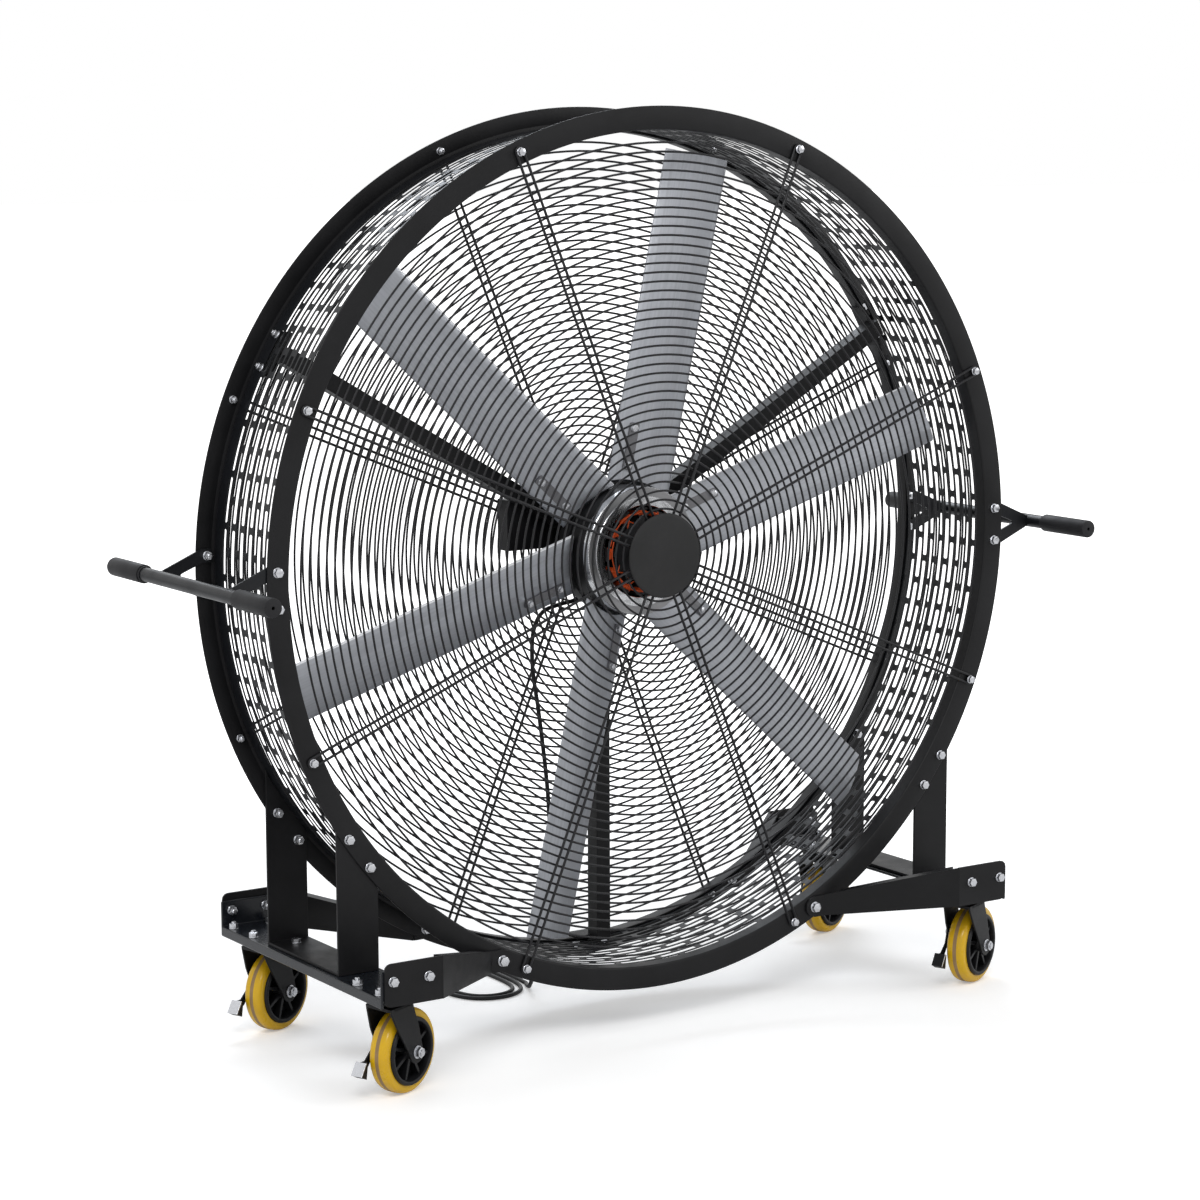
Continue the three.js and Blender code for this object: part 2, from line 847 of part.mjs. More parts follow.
// The crown, a narrow leg, a wider leg that carries the brake, and the axle bolt.
function casterFork() {
  const crownUnder = crownTop - crownThickness;
  const boss = arc([casterTrail, wheelRadius], legEndRadius, -180, 0, 5);
  const crownFront = -34;
  const crownRear = racewayRadius + 2;
  const legRear = Math.min(casterTrail - 10, crownRear);
  const legFront = Math.max(casterTrail - 70, crownFront);
  const narrowLeg = outline([[legFront, crownTop], ...boss, [legRear, crownTop]]);
  const brakeLeg = outline([
    [legFront + 10, crownTop],
    [pedalPivotX - 22, pedalPivotZ + 22],
    [pedalPivotX - 10, pedalPivotZ + 4],
    [pedalPivotX - 9, pedalPivotZ - 6],
    [pedalPivotX - 3, pedalPivotZ - 12],
    ...boss,
    [legRear, crownTop],
  ]);
  const crown = block([crownFront, -legOutside, crownUnder], [crownRear, legOutside, crownTop]);
  const head = { low: legOutside - 1, high: legOutside + axleHeadDepth };
  const axle = joined(
    tube(0, axleRadius, -head.high, head.high, roundSides),
    tube(0, axleRadius + 4, -head.high, -head.low, 6),
    tube(0, axleRadius + 4, head.low, head.high, 6),
  ).translate(casterTrail, 0, wheelRadius);
  const studEnd = legOutside + gap + pedalSheet + gap;
  const stud = joined(
    tube(0, pedalStudRadius, legOutside - 2, studEnd + 1, roundSides),
    tube(0, pedalStudRadius + 3, studEnd, studEnd + 3, roundSides),
  ).translate(pedalPivotX, 0, pedalPivotZ);
  const whole = joined(
    crown,
    uprightSheet(narrowLeg, legThickness, -legOutside),
    uprightSheet(brakeLeg, legThickness, legInside),
    axle,
    stud,
  );
  const kingHole = aroundFlats(kingpinRadius + pivotGap, roundSides);
  return cut(whole, post(0, kingHole, crownUnder - 1, crownTop + 1, roundSides));
}

function wheelCore() {
  const bore = aroundFlats(axleRadius + pivotGap, roundSides);
  const outer = aroundFlats(wheelRadius - tyreThickness, wheelSides);
  const inner = outer - coreRim;
  const hub = tube(bore, coreHubRadius, gap - legInside, legInside - gap, roundSides);
  const rimRing = tube(inner, outer, -coreWidth / 2, coreWidth / 2, wheelSides);
  const spokes = Array.from({ length: coreSpokes }, (_, i) =>
    block(
      [-coreSpokeWidth / 2, -coreWeb / 2, coreHubRadius - 2],
      [coreSpokeWidth / 2, coreWeb / 2, inner + 2],
    ).rotateY(radians((360 / coreSpokes) * i)),
  );
  return joined(hub, rimRing, ...spokes);
}

function tyre() {
  const seat = aroundFlats(wheelRadius - tyreThickness + gap, wheelSides);
  const tread = aroundFlats(wheelRadius, wheelSides);
  const half = treadWidth / 2;
  return turned(
    [
      [seat, -half],
      [tread - 4, -half],
      [tread, -half + 9],
      [tread, half - 9],
      [tread - 4, half],
      [seat, half],
    ],
    wheelSides,
  );
}

// A sloping plate that stands off the tyre, at the end of an ear on the brake leg's stud.
function brakePedal() {
  const earInside = legOutside + gap;
  const earOutside = earInside + pedalSheet;
  const upper = [pedalPlateX - pedalPlate, pedalPlateTop + pedalPlate / 2];
  const lower = [upper[0] - pedalSlope, upper[1] - pedalDrop];
  const heel = [lower[0] + pedalHeel[0], lower[1] + pedalHeel[1]];
  const ear = uprightSheet(
    outline([
      lower,
      heel,
      ...arc([pedalPivotX, pedalPivotZ], 9, -60, 105, 5),
      upper,
    ]),
    pedalSheet,
    earInside,
  );
  const tread = uprightSheet(
    outline([lower, heel, [pedalPlateX, pedalPlateTop], upper]),
    earOutside - pedalInside,
    pedalInside,
  );
  const hole = aroundFlats(pedalStudRadius + pivotGap, roundSides);
  const bore = tube(0, hole, earInside - 1, earOutside + 1, roundSides);
  return cut(joined(ear, tread), bore.translate(pedalPivotX, 0, pedalPivotZ));
}

for (const [end, way] of [
  ["front", -1],
  ["rear", 1],
]) {
  for (const [side, sign] of [
    ["left", -1],
    ["right", 1],
  ]) {
    const place = `${end}_${side}`;
    const caster = new THREE.Group();
    caster.position.set(sign * standX, way * casterY, 0);
    fan.add(caster);
    const swivel = new THREE.Group();
    swivel.rotation.z = radians(casterHeading);
    caster.add(swivel);
    addTo(caster, `${place}_caster_plate`, casterPlate(), blackPaint);
    addTo(swivel, `${place}_caster_fork`, casterFork(), blackPaint);
    addTo(swivel, `${place}_brake_pedal`, brakePedal(), zinc);
    const wheel = new THREE.Group();
    wheel.position.set(casterTrail, 0, wheelRadius);
    wheel.rotation.y = Math.PI / wheelSides; // a flat of the tread rests on the floor
    swivel.add(wheel);
    addTo(wheel, `${place}_wheel_core`, wheelCore(), blackPlastic);
    addTo(wheel, `${place}_tyre`, tyre(), yellowTread);
  }
}

// ---------------------------------------------------------------- cord

function curveThrough(points) {
  return new THREE.CatmullRomCurve3(points.map((p) => new THREE.Vector3(...p)));
}

// From the shaft's rear end down inside the drum, out between two rings of the rear guard.
const leadRoute = [
  [0, 102, axisHeight - shaftRadius - gap],
  [0, 102, 842],
  [-1, 102, 815],
  [-7, 103, 788],
  [-30, 104, 769],
  [-67, 105, 762],
  [-103, 106, 751],
  [-122, 107, 720],
  [-126, 107, 655],
  [-114, 107, 571],
  [-106, 107, 513],
  [-95, 107, 420],
  [-90, 107, 340],
  [-89, 109, 285],
  [-90, 118, 243],
  [-94, 135, 207],
  [-98, 148, 174],
  [-100, 153, 145],
  [-100, 153, 132],
  [-100, 153, clampTop + gap],
];

// From the clamp straight down behind the rear rim, then along the floor to the loops.
const dropRoute = [
  [clampX, clampY, clampBottom - gap],
  [clampX, clampY, 76],
  [-99.7, 153.8, 64],
  [-98.6, 157, 51],
  [-96, 163.5, 38.5],
  [-92, 173, 27],
  [-87, 185, 17.5],
  [-80, 199, 10.5],
  [-72.5, 214, 6.2],
  [-66.5, 230, 4.4],
];

// The loops on the floor: stretched circles that draw in by loopDraw each turn. The last part
// draws in further, and rises to the middle of the plug.
function loopPoint(angle) {
  const turns = (angle - loopStartAngle) / 360;
  const total = (loopEndAngle - loopStartAngle) / 360;
  const tuck = loopTuck * THREE.MathUtils.smoothstep(turns, total - 0.35, total);
  const radius = loopStartRadius - loopDraw * turns - tuck;
  const s = Math.sin(radians(angle));
  const stretch = (loopStretch * Math.tanh(loopSquareness * s)) / Math.tanh(loopSquareness);
  const low = cordRadius + floorGap;
  const lift = THREE.MathUtils.smoothstep(turns, total - 0.2, total - 0.04);
  return [
    loopCentre[0] + radius * Math.cos(radians(angle)),
    loopCentre[1] + radius * s + stretch,
    low + lift * (plugHeight / 2 + floorGap - low),
  ];
}

const loopCount = Math.round(((loopEndAngle - loopStartAngle) / 360) * loopSteps);
const loopRoute = Array.from({ length: loopCount + 1 }, (_, i) =>
  loopPoint(loopStartAngle + ((loopEndAngle - loopStartAngle) * i) / loopCount),
);

// The least clear space between turns of the loops, measured between points over half a turn apart.
function leastLoopGap() {
  const fine = curveThrough(loopRoute).getSpacedPoints(loopCount * 12);
  const apart = Math.round((fine.length * 180) / (loopEndAngle - loopStartAngle));
  let least = Infinity;
  fine.forEach((a, i) => {
    for (let j = i + apart; j < fine.length; j += 1) {
      least = Math.min(least, a.distanceTo(fine[j]));
    }
  });
  return least - 2 * cordRadius;
}

// The clamp on the rear rim that takes the cord's pull.
function cordClamp() {
  const face = halfDepth + gap;
  const half = clampRadius + 7;
  return joined(
    block([clampX - half, face, clampBottom], [clampX + half, face + clampSheet, clampTop]),
    block([clampX - 5, face, clampBottom + 4], [clampX + 5, clampY, clampTop - 4]),
    post(0, clampRadius, clampBottom, clampTop, roundSides, clampX, clampY),
  );
}

// A moulded plug lying on the floor. It starts at the origin and points along -Y.
function plug() {
  const neck = turned(
    [
      [0, 0],
      [cordRadius + 1.5, 0],
      [plugHeight / 2 - 1, plugNeckLength + 1],
      [0, plugNeckLength + 1],
    ],
    8,
  ).rotateX(Math.PI);
  const bodyEnd = -plugNeckLength - plugBodyLength;
  const body = block(
    [-plugWidth / 2, bodyEnd, -plugHeight / 2],
    [plugWidth / 2, -plugNeckLength, plugHeight / 2],
  );
  const pins = [-1, 1].map((way) =>
    tube(0, plugPinRadius, bodyEnd - plugPinLength, bodyEnd + 1, 8).translate(way * 6, 0, 0),
  );
  return joined(neck, body, ...pins);
}

const loopCurve = curveThrough(loopRoute);
const leadIn = [2.25 * cordRadius, gap].map((back) =>
  loopCurve.getPoint(0).addScaledVector(loopCurve.getTangent(0), -back).toArray(),
);
const dropCurve = curveThrough([...dropRoute, ...leadIn]);

addTo(fan, "motor_lead", cable(curveThrough(leadRoute), 36, 8), blackRubber);
addTo(fan, "cord_clamp", cordClamp(), blackPlastic);
addTo(fan, "power_cord", cable(dropCurve, 14, 8), blackRubber);
addTo(fan, "power_cord_loops", cable(loopCurve, loopCount, 6), blackRubber);
const plugWay = loopCurve.getTangent(1);
const plugMesh = addTo(fan, "power_plug", plug(), blackPlastic);
plugMesh.position.copy(loopCurve.getPoint(1)).addScaledVector(plugWay, gap);
plugMesh.rotation.z = Math.atan2(plugWay.x, -plugWay.y);

const cordLength = dropCurve.getLength() + loopCurve.getLength();
console.log(`cord: ${cordLength.toFixed(0)} mm long`);
console.log(`loops: least gap ${leastLoopGap().toFixed(2)} mm`);

export default fan;
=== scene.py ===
import math

import bmesh
import bpy
import numpy as np
from mathutils import Matrix, Vector
from mathutils.geometry import delaunay_2d_cdt


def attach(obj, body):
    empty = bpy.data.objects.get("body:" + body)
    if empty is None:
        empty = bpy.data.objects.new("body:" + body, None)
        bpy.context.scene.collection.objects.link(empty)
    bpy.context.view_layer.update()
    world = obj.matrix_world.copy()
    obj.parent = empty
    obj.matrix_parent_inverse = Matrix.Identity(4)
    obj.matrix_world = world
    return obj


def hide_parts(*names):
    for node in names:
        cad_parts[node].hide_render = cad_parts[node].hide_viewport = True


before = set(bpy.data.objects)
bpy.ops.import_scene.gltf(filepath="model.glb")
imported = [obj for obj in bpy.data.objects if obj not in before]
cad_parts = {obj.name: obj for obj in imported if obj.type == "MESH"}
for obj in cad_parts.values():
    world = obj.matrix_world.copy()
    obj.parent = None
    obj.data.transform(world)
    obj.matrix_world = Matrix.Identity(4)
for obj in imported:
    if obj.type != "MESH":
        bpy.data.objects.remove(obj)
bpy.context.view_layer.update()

# Shapes are written in millimetres, in the frame of the CAD, and built in metres.
AXIS = 876.0
RIM_OUT, RIM_IN, FACE = 800.0, 758.0, 135.0
SKIN_IN, SKIN_OUT = 762.3, 763.8
BOLT_R = 781.0
AXLE = (0, 0, AXIS / 1000)
SPOKES = [22.5 + 45 * i for i in range(8)]
FEET = [30, 150, 270]
BLADES = [77.7 + 60 * i for i in range(6)]
PITCH = math.radians(16.3)
HEADING = math.radians(24)
TRAIL = 40
WHEEL_R = 75
CASTER_X, CASTER_Y = 635, 231
HANDLE_X = 875
BLADE_ROOT, BLADE_TIP = 124.8, 731.4
CORNERS = {"front_left": (-1, -1), "front_right": (1, -1), "rear_left": (-1, 1), "rear_right": (1, 1)}
GUARD_PITCH, GUARD_RINGS = 16.3, 41
PAINT = "black_powder_coat"
DISC_EDGE = 84.0

# The photograph's camera, in pixels of its frame, metres and radians.
FRAME = 1200
FOCAL = 3142.89925
CENTRE = (573.046008, 619.397884)
EYE = (-3.19627532, -4.75460119, 1.63888516)
YAW, DOWN, ROLL = 0.576492512, 0.155346413, -0.00479037402


# ---------------------------------------------------------------- camera, light, floor

def make_camera():
    ahead = Vector((math.sin(YAW) * math.cos(DOWN), math.cos(YAW) * math.cos(DOWN), -math.sin(DOWN)))
    level = Vector((math.cos(YAW), -math.sin(YAW), 0))
    above = level.cross(ahead)
    right = level * math.cos(ROLL) + above * math.sin(ROLL)
    up = above * math.cos(ROLL) - level * math.sin(ROLL)
    data = bpy.data.cameras.new("camera")
    cam = bpy.data.objects.new("camera", data)
    bpy.context.scene.collection.objects.link(cam)
    cam.matrix_world = Matrix.Translation(EYE) @ Matrix((right, up, -ahead)).transposed().to_4x4()
    data.sensor_width = 36
    data.lens = FOCAL / FRAME * data.sensor_width
    data.shift_x = (FRAME / 2 - CENTRE[0]) / FRAME
    data.shift_y = (CENTRE[1] - FRAME / 2) / FRAME
    data.clip_start, data.clip_end = 0.1, 200
    bpy.context.scene.camera = cam


def math_node(tree, kind, operation, *sources):
    """A math or vector math node. Each source is a socket, a number or a vector."""
    made = tree.nodes.new(kind)
    made.operation = operation
    for socket, source in zip(made.inputs, sources):
        if isinstance(source, (float, tuple)):
            socket.default_value = source
        else:
            tree.links.new(source, socket)
    return made


def make_world():
    """Even light, and full white where the camera, metal or glass looks past the floor."""
    world = bpy.data.worlds.new("studio")
    bpy.context.scene.world = world
    world.use_nodes = True
    tree = world.node_tree
    tree.nodes.clear()
    node, link = tree.nodes.new, tree.links.new
    path = node("ShaderNodeLightPath")
    seen = path.outputs["Is Camera Ray"]
    for ray in ("Is Glossy Ray", "Is Transmission Ray"):
        seen = math_node(tree, "ShaderNodeMath", "MAXIMUM", seen, path.outputs[ray]).outputs[0]
    strength = node("ShaderNodeMapRange")
    strength.inputs["To Min"].default_value = 0.62
    strength.inputs["To Max"].default_value = 1.0
    link(seen, strength.inputs["Value"])
    back = node("ShaderNodeBackground")
    back.inputs["Color"].default_value = (1, 1, 1, 1)
    link(strength.outputs[0], back.inputs["Strength"])
    out = node("ShaderNodeOutputWorld")
    link(back.outputs[0], out.inputs["Surface"])


def area_lamp(name, place, aim, size, watts, tint=(1, 1, 1)):
    data = bpy.data.lights.new(name, "AREA")
    data.shape = "RECTANGLE"
    data.size, data.size_y = size
    data.energy = watts
    data.color = tint
    lamp = bpy.data.objects.new(name, data)
    bpy.context.scene.collection.objects.link(lamp)
    lamp.location = place
    lamp.rotation_mode = "QUATERNION"
    lamp.rotation_quaternion = (Vector(aim) - Vector(place)).to_track_quat("-Z", "Y")


def make_floor():
    """Pale paper. It brightens to white away from the object, and keeps the object's shadow."""
    mesh = bpy.data.meshes.new("floor")
    half = 60
    corners = [(-half, -half, 0), (half, -half, 0), (half, half, 0), (-half, half, 0)]
    mesh.from_pydata(corners, [], [(0, 1, 2, 3)])
    floor = bpy.data.objects.new("floor", mesh)
    bpy.context.scene.collection.objects.link(floor)
    mat = bpy.data.materials.new("floor_paper")
    mat.use_nodes = True
    tree = mat.node_tree
    node, link = tree.nodes.new, tree.links.new
    shader = tree.nodes["Principled BSDF"]
    shader.inputs["Base Color"].default_value = (0.93, 0.93, 0.93, 1)
    shader.inputs["Roughness"].default_value = 0.9
    shader.inputs["Specular IOR Level"].default_value = 0.1
    path = node("ShaderNodeLightPath")
    place = node("ShaderNodeTexCoord")
    away = math_node(tree, "ShaderNodeVectorMath", "LENGTH", place.outputs["Object"])
    reach = node("ShaderNodeMapRange")
    reach.interpolation_type = "SMOOTHSTEP"
    for name, value in (("From Min", 0.9), ("From Max", 2.4), ("To Min", 0.3), ("To Max", 1.0)):
        reach.inputs[name].default_value = value
    link(away.outputs["Value"], reach.inputs["Value"])
    seen = path.outputs["Is Camera Ray"]
    glow = math_node(tree, "ShaderNodeMath", "MULTIPLY", seen, reach.outputs[0])
    shader.inputs["Emission Color"].default_value = (1, 1, 1, 1)
    link(glow.outputs[0], shader.inputs["Emission Strength"])
    mesh.materials.append(mat)


bpy.context.scene.view_settings.view_transform = "Standard"
make_camera()
make_world()
make_floor()
area_lamp("key", (-3.2, -3.6, 4.4), (0, 0, 0.8), (2.6, 1.6), 120)
area_lamp("fill", (4.2, -3.0, 3.0), (0, 0, 0.9), (2.2, 2.2), 45)
area_lamp("window", (1.2, 3.8, 4.2), (0, 0, 0.9), (3.2, 1.2), 90, (0.86, 0.92, 1.0))


# ---------------------------------------------------------------- materials

class Shade:
    """A procedural material, built up from noise in object space (metres)."""

    def __init__(self, name, colour, roughness, metallic=0.0):
        self.mat = bpy.data.materials.new(name)
        self.mat.use_nodes = True
        self.mat.diffuse_color = (*colour, 1)
        self.tree = self.mat.node_tree
        self.shader = self.tree.nodes["Principled BSDF"]
        self.shader.inputs["Base Color"].default_value = (*colour, 1)
        self.shader.inputs["Roughness"].default_value = roughness
        self.shader.inputs["Metallic"].default_value = metallic
        self.coords = self.node("ShaderNodeTexCoord").outputs["Object"]

    def node(self, kind, **sockets):
        made = self.tree.nodes.new(kind)
        for name, value in sockets.items():
            made.inputs[name].default_value = value
        return made

    def link(self, a, b):
        self.tree.links.new(a, b)

    def sum(self, operation, *sources):
        return math_node(self.tree, "ShaderNodeMath", operation, *sources).outputs[0]

    def vector(self, operation, *sources):
        made = math_node(self.tree, "ShaderNodeVectorMath", operation, *sources)
        return made.outputs["Vector" if operation == "SUBTRACT" else "Value"]

    def joined(self, **parts):
        made = self.node("ShaderNodeCombineXYZ")
        for axis, source in parts.items():
            self.link(source, made.inputs[axis])
        return made.outputs[0]

    def grain(self, place, scale, detail, rough=0.6):
        made = self.node("ShaderNodeTexNoise", Scale=scale, Detail=detail, Roughness=rough)
        self.link(place, made.inputs["Vector"])
        return made.outputs["Fac"]

    def noise(self, scale, detail=3, stretch=(1, 1, 1), rough=0.55):
        mapping = self.node("ShaderNodeMapping", Scale=stretch)
        self.link(self.coords, mapping.inputs["Vector"])
        return self.grain(mapping.outputs[0], scale, detail, rough)

    def spread(self, source, low, high, to_low=0.0, to_high=1.0):
        """Takes the range low to high of source to another range."""
        sockets = {"From Min": low, "From Max": high, "To Min": to_low, "To Max": to_high}
        made = self.node("ShaderNodeMapRange", **sockets)
        self.link(source, made.inputs["Value"])
        return made.outputs[0]

    def tint(self, source, other):
        """Mixes the colour so far with another where source is high."""
        mix = self.node("ShaderNodeMix")
        mix.data_type = "RGBA"
        old = self.shader.inputs["Base Color"]
        if old.is_linked:
            self.link(old.links[0].from_socket, mix.inputs["A"])
        else:
            mix.inputs["A"].default_value = old.default_value
        mix.inputs["B"].default_value = (*other, 1)
        self.link(source, mix.inputs["Factor"])
        self.link(mix.outputs["Result"], old)

    def polish(self, source, low, high):
        """Roughness runs from low to high with source."""
        self.link(self.spread(source, 0.3, 0.7, low, high), self.shader.inputs["Roughness"])

    def bump(self, source, strength, distance):
        made = self.node("ShaderNodeBump", Strength=strength, Distance=distance)
        self.link(source, made.inputs["Height"])
        self.link(made.outputs["Normal"], self.shader.inputs["Normal"])


def powder(name, colour, roughness, dust=0.5, shine=0.2):
    """Powder coat: a fine orange-peel texture, and a little dust in patches."""
    s = Shade(name, colour, roughness)
    s.shader.inputs["Specular IOR Level"].default_value = shine
    patches = s.spread(s.noise(7, 5), 0.45, 0.75, 0, dust)
    s.tint(patches, tuple(min(1, c * 1.9 + 0.003) for c in colour))
    specks = s.spread(s.noise(420, 2, rough=0.7), 0.62, 0.78, 0, 0.35)
    s.tint(specks, tuple(c * 2.2 + 0.002 for c in colour))
    s.polish(s.noise(18, 4), roughness - 0.07, roughness + 0.08)
    s.bump(s.noise(900, 2), 0.28, 0.0004)
    return s.mat


def brushed(name, colour, roughness, stretch, scale=60, streak=0.5, metallic=1.0):
    """Metal with grain along the direction that stretch makes long."""
    s = Shade(name, colour, roughness, metallic)
    grain = s.noise(scale, 5, stretch, 0.65)
    s.tint(s.spread(grain, 0.35, 0.7, 0, streak), tuple(c * 0.62 for c in colour))
    s.tint(s.spread(s.noise(5, 4), 0.5, 0.75, 0, 0.35), tuple(min(1, c * 1.25) for c in colour))
    s.polish(grain, roughness - 0.06, roughness + 0.1)
    s.bump(grain, 0.12, 0.0003)
    return s.mat


def turned(name, colour, roughness):
    """Metal with fine rings about the drum's axis, as a lathe leaves them."""
    s = Shade(name, colour, roughness, 1.0)
    split = s.node("ShaderNodeSeparateXYZ")
    s.link(s.vector("SUBTRACT", s.coords, AXLE), split.inputs[0])
    radius = s.vector("LENGTH", s.joined(X=split.outputs["X"], Z=split.outputs["Z"]))
    rings = s.grain(s.joined(X=radius, Y=split.outputs["Y"]), 420, 4)
    s.tint(s.spread(rings, 0.4, 0.68, 0, 0.35), tuple(c * 0.7 for c in colour))
    s.tint(s.spread(s.noise(9, 4), 0.5, 0.75, 0, 0.3), tuple(min(1, c * 1.15) for c in colour))
    s.polish(rings, roughness - 0.05, roughness + 0.08)
    s.bump(rings, 0.06, 0.0002)
    return s.mat


def blade_material():
    """Extruded aluminium: streaks run from root to tip, whichever way the blade points."""
    s = Shade("blade_aluminium", (0.44, 0.455, 0.49), 0.4, 1.0)
    centred = s.vector("SUBTRACT", s.coords, AXLE)
    places = []
    for angle in map(math.radians, BLADES[:3]):
        across = s.vector("DOT_PRODUCT", centred, (math.sin(angle), 0, -math.cos(angle)))
        places.append((across, s.sum("ABSOLUTE", across)))
    place, near = places[0]
    for other, size in places[1:]:
        chosen = s.node("ShaderNodeMix")
        s.link(s.sum("LESS_THAN", size, near), chosen.inputs["Factor"])
        s.link(place, chosen.inputs["A"])
        s.link(other, chosen.inputs["B"])
        place, near = chosen.outputs["Result"], s.sum("MINIMUM", size, near)
    along = s.sum("MULTIPLY", s.vector("LENGTH", centred), 0.012)
    streaks = s.grain(s.joined(X=place, Y=along), 260, 5)
    s.tint(s.spread(streaks, 0.4, 0.68, 0, 0.4), (0.30, 0.31, 0.335))
    s.tint(s.spread(s.noise(6, 4), 0.5, 0.75, 0, 0.35), (0.52, 0.535, 0.57))
    s.polish(streaks, 0.34, 0.5)
    s.bump(streaks, 0.12, 0.0002)
    return s.mat


def moulded(name, colour, roughness, grain=1600, depth=0.15, shine=0.25):
    """Plastic, rubber or lacquer with a fine moulded grain."""
    s = Shade(name, colour, roughness)
    s.shader.inputs["Specular IOR Level"].default_value = shine
    s.tint(s.spread(s.noise(30, 4), 0.45, 0.8, 0, 0.5), tuple(c * 1.7 + 0.002 for c in colour))
    s.polish(s.noise(24, 3), roughness - 0.06, roughness + 0.08)
    s.bump(s.noise(grain, 2), depth, 0.0003)
    return s.mat


black_coat = powder(PAINT, (0.0065, 0.0065, 0.0072), 0.43)
black_drum = powder("black_drum_coat", (0.006, 0.0066, 0.0082), 0.36, 0.35, 0.26)
black_wire = powder("black_wire_coat", (0.007, 0.007, 0.0085), 0.4, 0.3, 0.3)
# The base plates' coat: the same black powder coat, glossier, with a blue tint that is a painted sheen of
# light from above.
painted_sheen_deck = powder("painted_sheen_deck_coat", (0.006, 0.0075, 0.0105), 0.24, 0.3, 0.42)
disc_coat = powder("disc_coat", (0.018, 0.018, 0.0185), 0.55, 0.4)
turned_metal = turned("turned_aluminium", (0.74, 0.75, 0.77), 0.2)
turned_face = turned("turned_face", (0.36, 0.36, 0.37), 0.34)
steel_metal = brushed("ground_steel", (0.5, 0.5, 0.51), 0.28, (1, 0.05, 1), 200, 0.4)
zinc_metal = brushed("zinc_plate", (0.62, 0.63, 0.66), 0.26, (1, 1, 1), 240, 0.4)
enamel = moulded("winding_enamel", (0.62, 0.085, 0.018), 0.34, 600, 0.1)
laminations = brushed("laminations", (0.018, 0.018, 0.02), 0.5, (1, 60, 1), 60, 0.6, 0.3)
black_plastic = moulded("black_plastic", (0.007, 0.007, 0.008), 0.4)
black_rubber = moulded("black_rubber", (0.012, 0.012, 0.0135), 0.55, 1100, 0.3)
cable_rubber = moulded("cable_sheath", (0.011, 0.011, 0.012), 0.45, 900, 0.1)
tread_line = moulded("tread_line", (0.27, 0.175, 0.085), 0.45)
brass_metal = brushed("plug_blades", (0.6, 0.5, 0.32), 0.25, (1, 1, 1), 200, 0.2)
blade_metal = blade_material()
strap_metal = brushed("strap_steel", (0.2, 0.2, 0.21), 0.4, (1, 1, 1), 160, 0.5)
# A bright metal for thin strips along edges that stand in for highlights: painted highlights.
painted_highlight_metal = brushed("painted_highlight_edge", (0.82, 0.83, 0.86), 0.3, (1, 1, 1), 160, 0.3)


def tread_material():
    """Cast polyurethane: yellow, a little cloudy, with a thin gloss."""
    s = Shade("tread_yellow", (0.68, 0.41, 0.008), 0.3)
    s.shader.inputs["Specular IOR Level"].default_value = 0.28
    s.tint(s.spread(s.noise(26, 4), 0.4, 0.75, 0, 0.4), (0.55, 0.30, 0.009))
    s.tint(s.spread(s.noise(300, 3), 0.62, 0.75, 0, 0.25), (0.46, 0.27, 0.03))
    s.shader.inputs["Coat Weight"].default_value = 0.22
    s.shader.inputs["Coat Roughness"].default_value = 0.12
    s.polish(s.noise(40, 3), 0.24, 0.38)
    s.bump(s.noise(140, 2), 0.05, 0.0006)
    return s.mat


tread_yellow = tread_material()


# ---------------------------------------------------------------- mesh tools

def turn_y(degrees):
    """Turns a shape made along +X to an angle in the drum's face, from +X towards +Z."""
    return Matrix.Rotation(-math.radians(degrees), 4, "Y")


def at(x, y, z):
    return Matrix.Translation((x, y, z))


DRUM = at(0, 0, AXIS)


class Piece:
    """Gathers shapes in millimetres and makes one object of them."""

    def __init__(self):
        self.verts, self.faces, self.slots, self.count = [], [], [], 0

    def add(self, shape, matrix=None, slot=0):
        verts, faces = shape
        verts = np.asarray(verts, dtype=float)
        if matrix is not None:
            m = np.array(matrix)
            verts = verts @ m[:3, :3].T + m[:3, 3]
        self.verts.append(verts)
        self.faces += [tuple(i + self.count for i in face) for face in faces]
        self.slots += [slot] * len(faces)
        self.count += len(verts)
        return self

    def build(self, name, materials, body, record_slot, replaced=(), sharp=35, bevel=0, segments=2):
        mesh = bpy.data.meshes.new(name)
        mesh.from_pydata((np.vstack(self.verts) * 0.001).tolist(), [], self.faces)
        materials = materials if isinstance(materials, (list, tuple)) else [materials]
        for mat in materials:
            mesh.materials.append(mat)
        mesh.polygons.foreach_set("material_index", self.slots)
        return finish_piece(mesh, name, body, replaced, sharp, bevel, segments)


def finish_piece(mesh, name, body, replaced, sharp, bevel, segments=2):
    """Faces out, sharp and bevelled edges, and the piece's body and CAD node."""
    bm = bmesh.new()
    bm.from_mesh(mesh)
    bmesh.ops.recalc_face_normals(bm, faces=bm.faces)
    bm.to_mesh(mesh)
    bm.free()
    mesh.shade_smooth()
    mesh.set_sharp_from_angle(angle=math.radians(sharp))
    made = bpy.data.objects.new(name, mesh)
    bpy.context.scene.collection.objects.link(made)
    if bevel:
        modifier = made.modifiers.new("edges", "BEVEL")
        modifier.width = bevel * 0.001
        modifier.segments = segments
        modifier.limit_method = "ANGLE"
        modifier.angle_limit = math.radians(32)
        modifier.harden_normals = True
    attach(made, body)
    if replaced:
        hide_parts(*([replaced] if isinstance(replaced, str) else replaced))
    return made


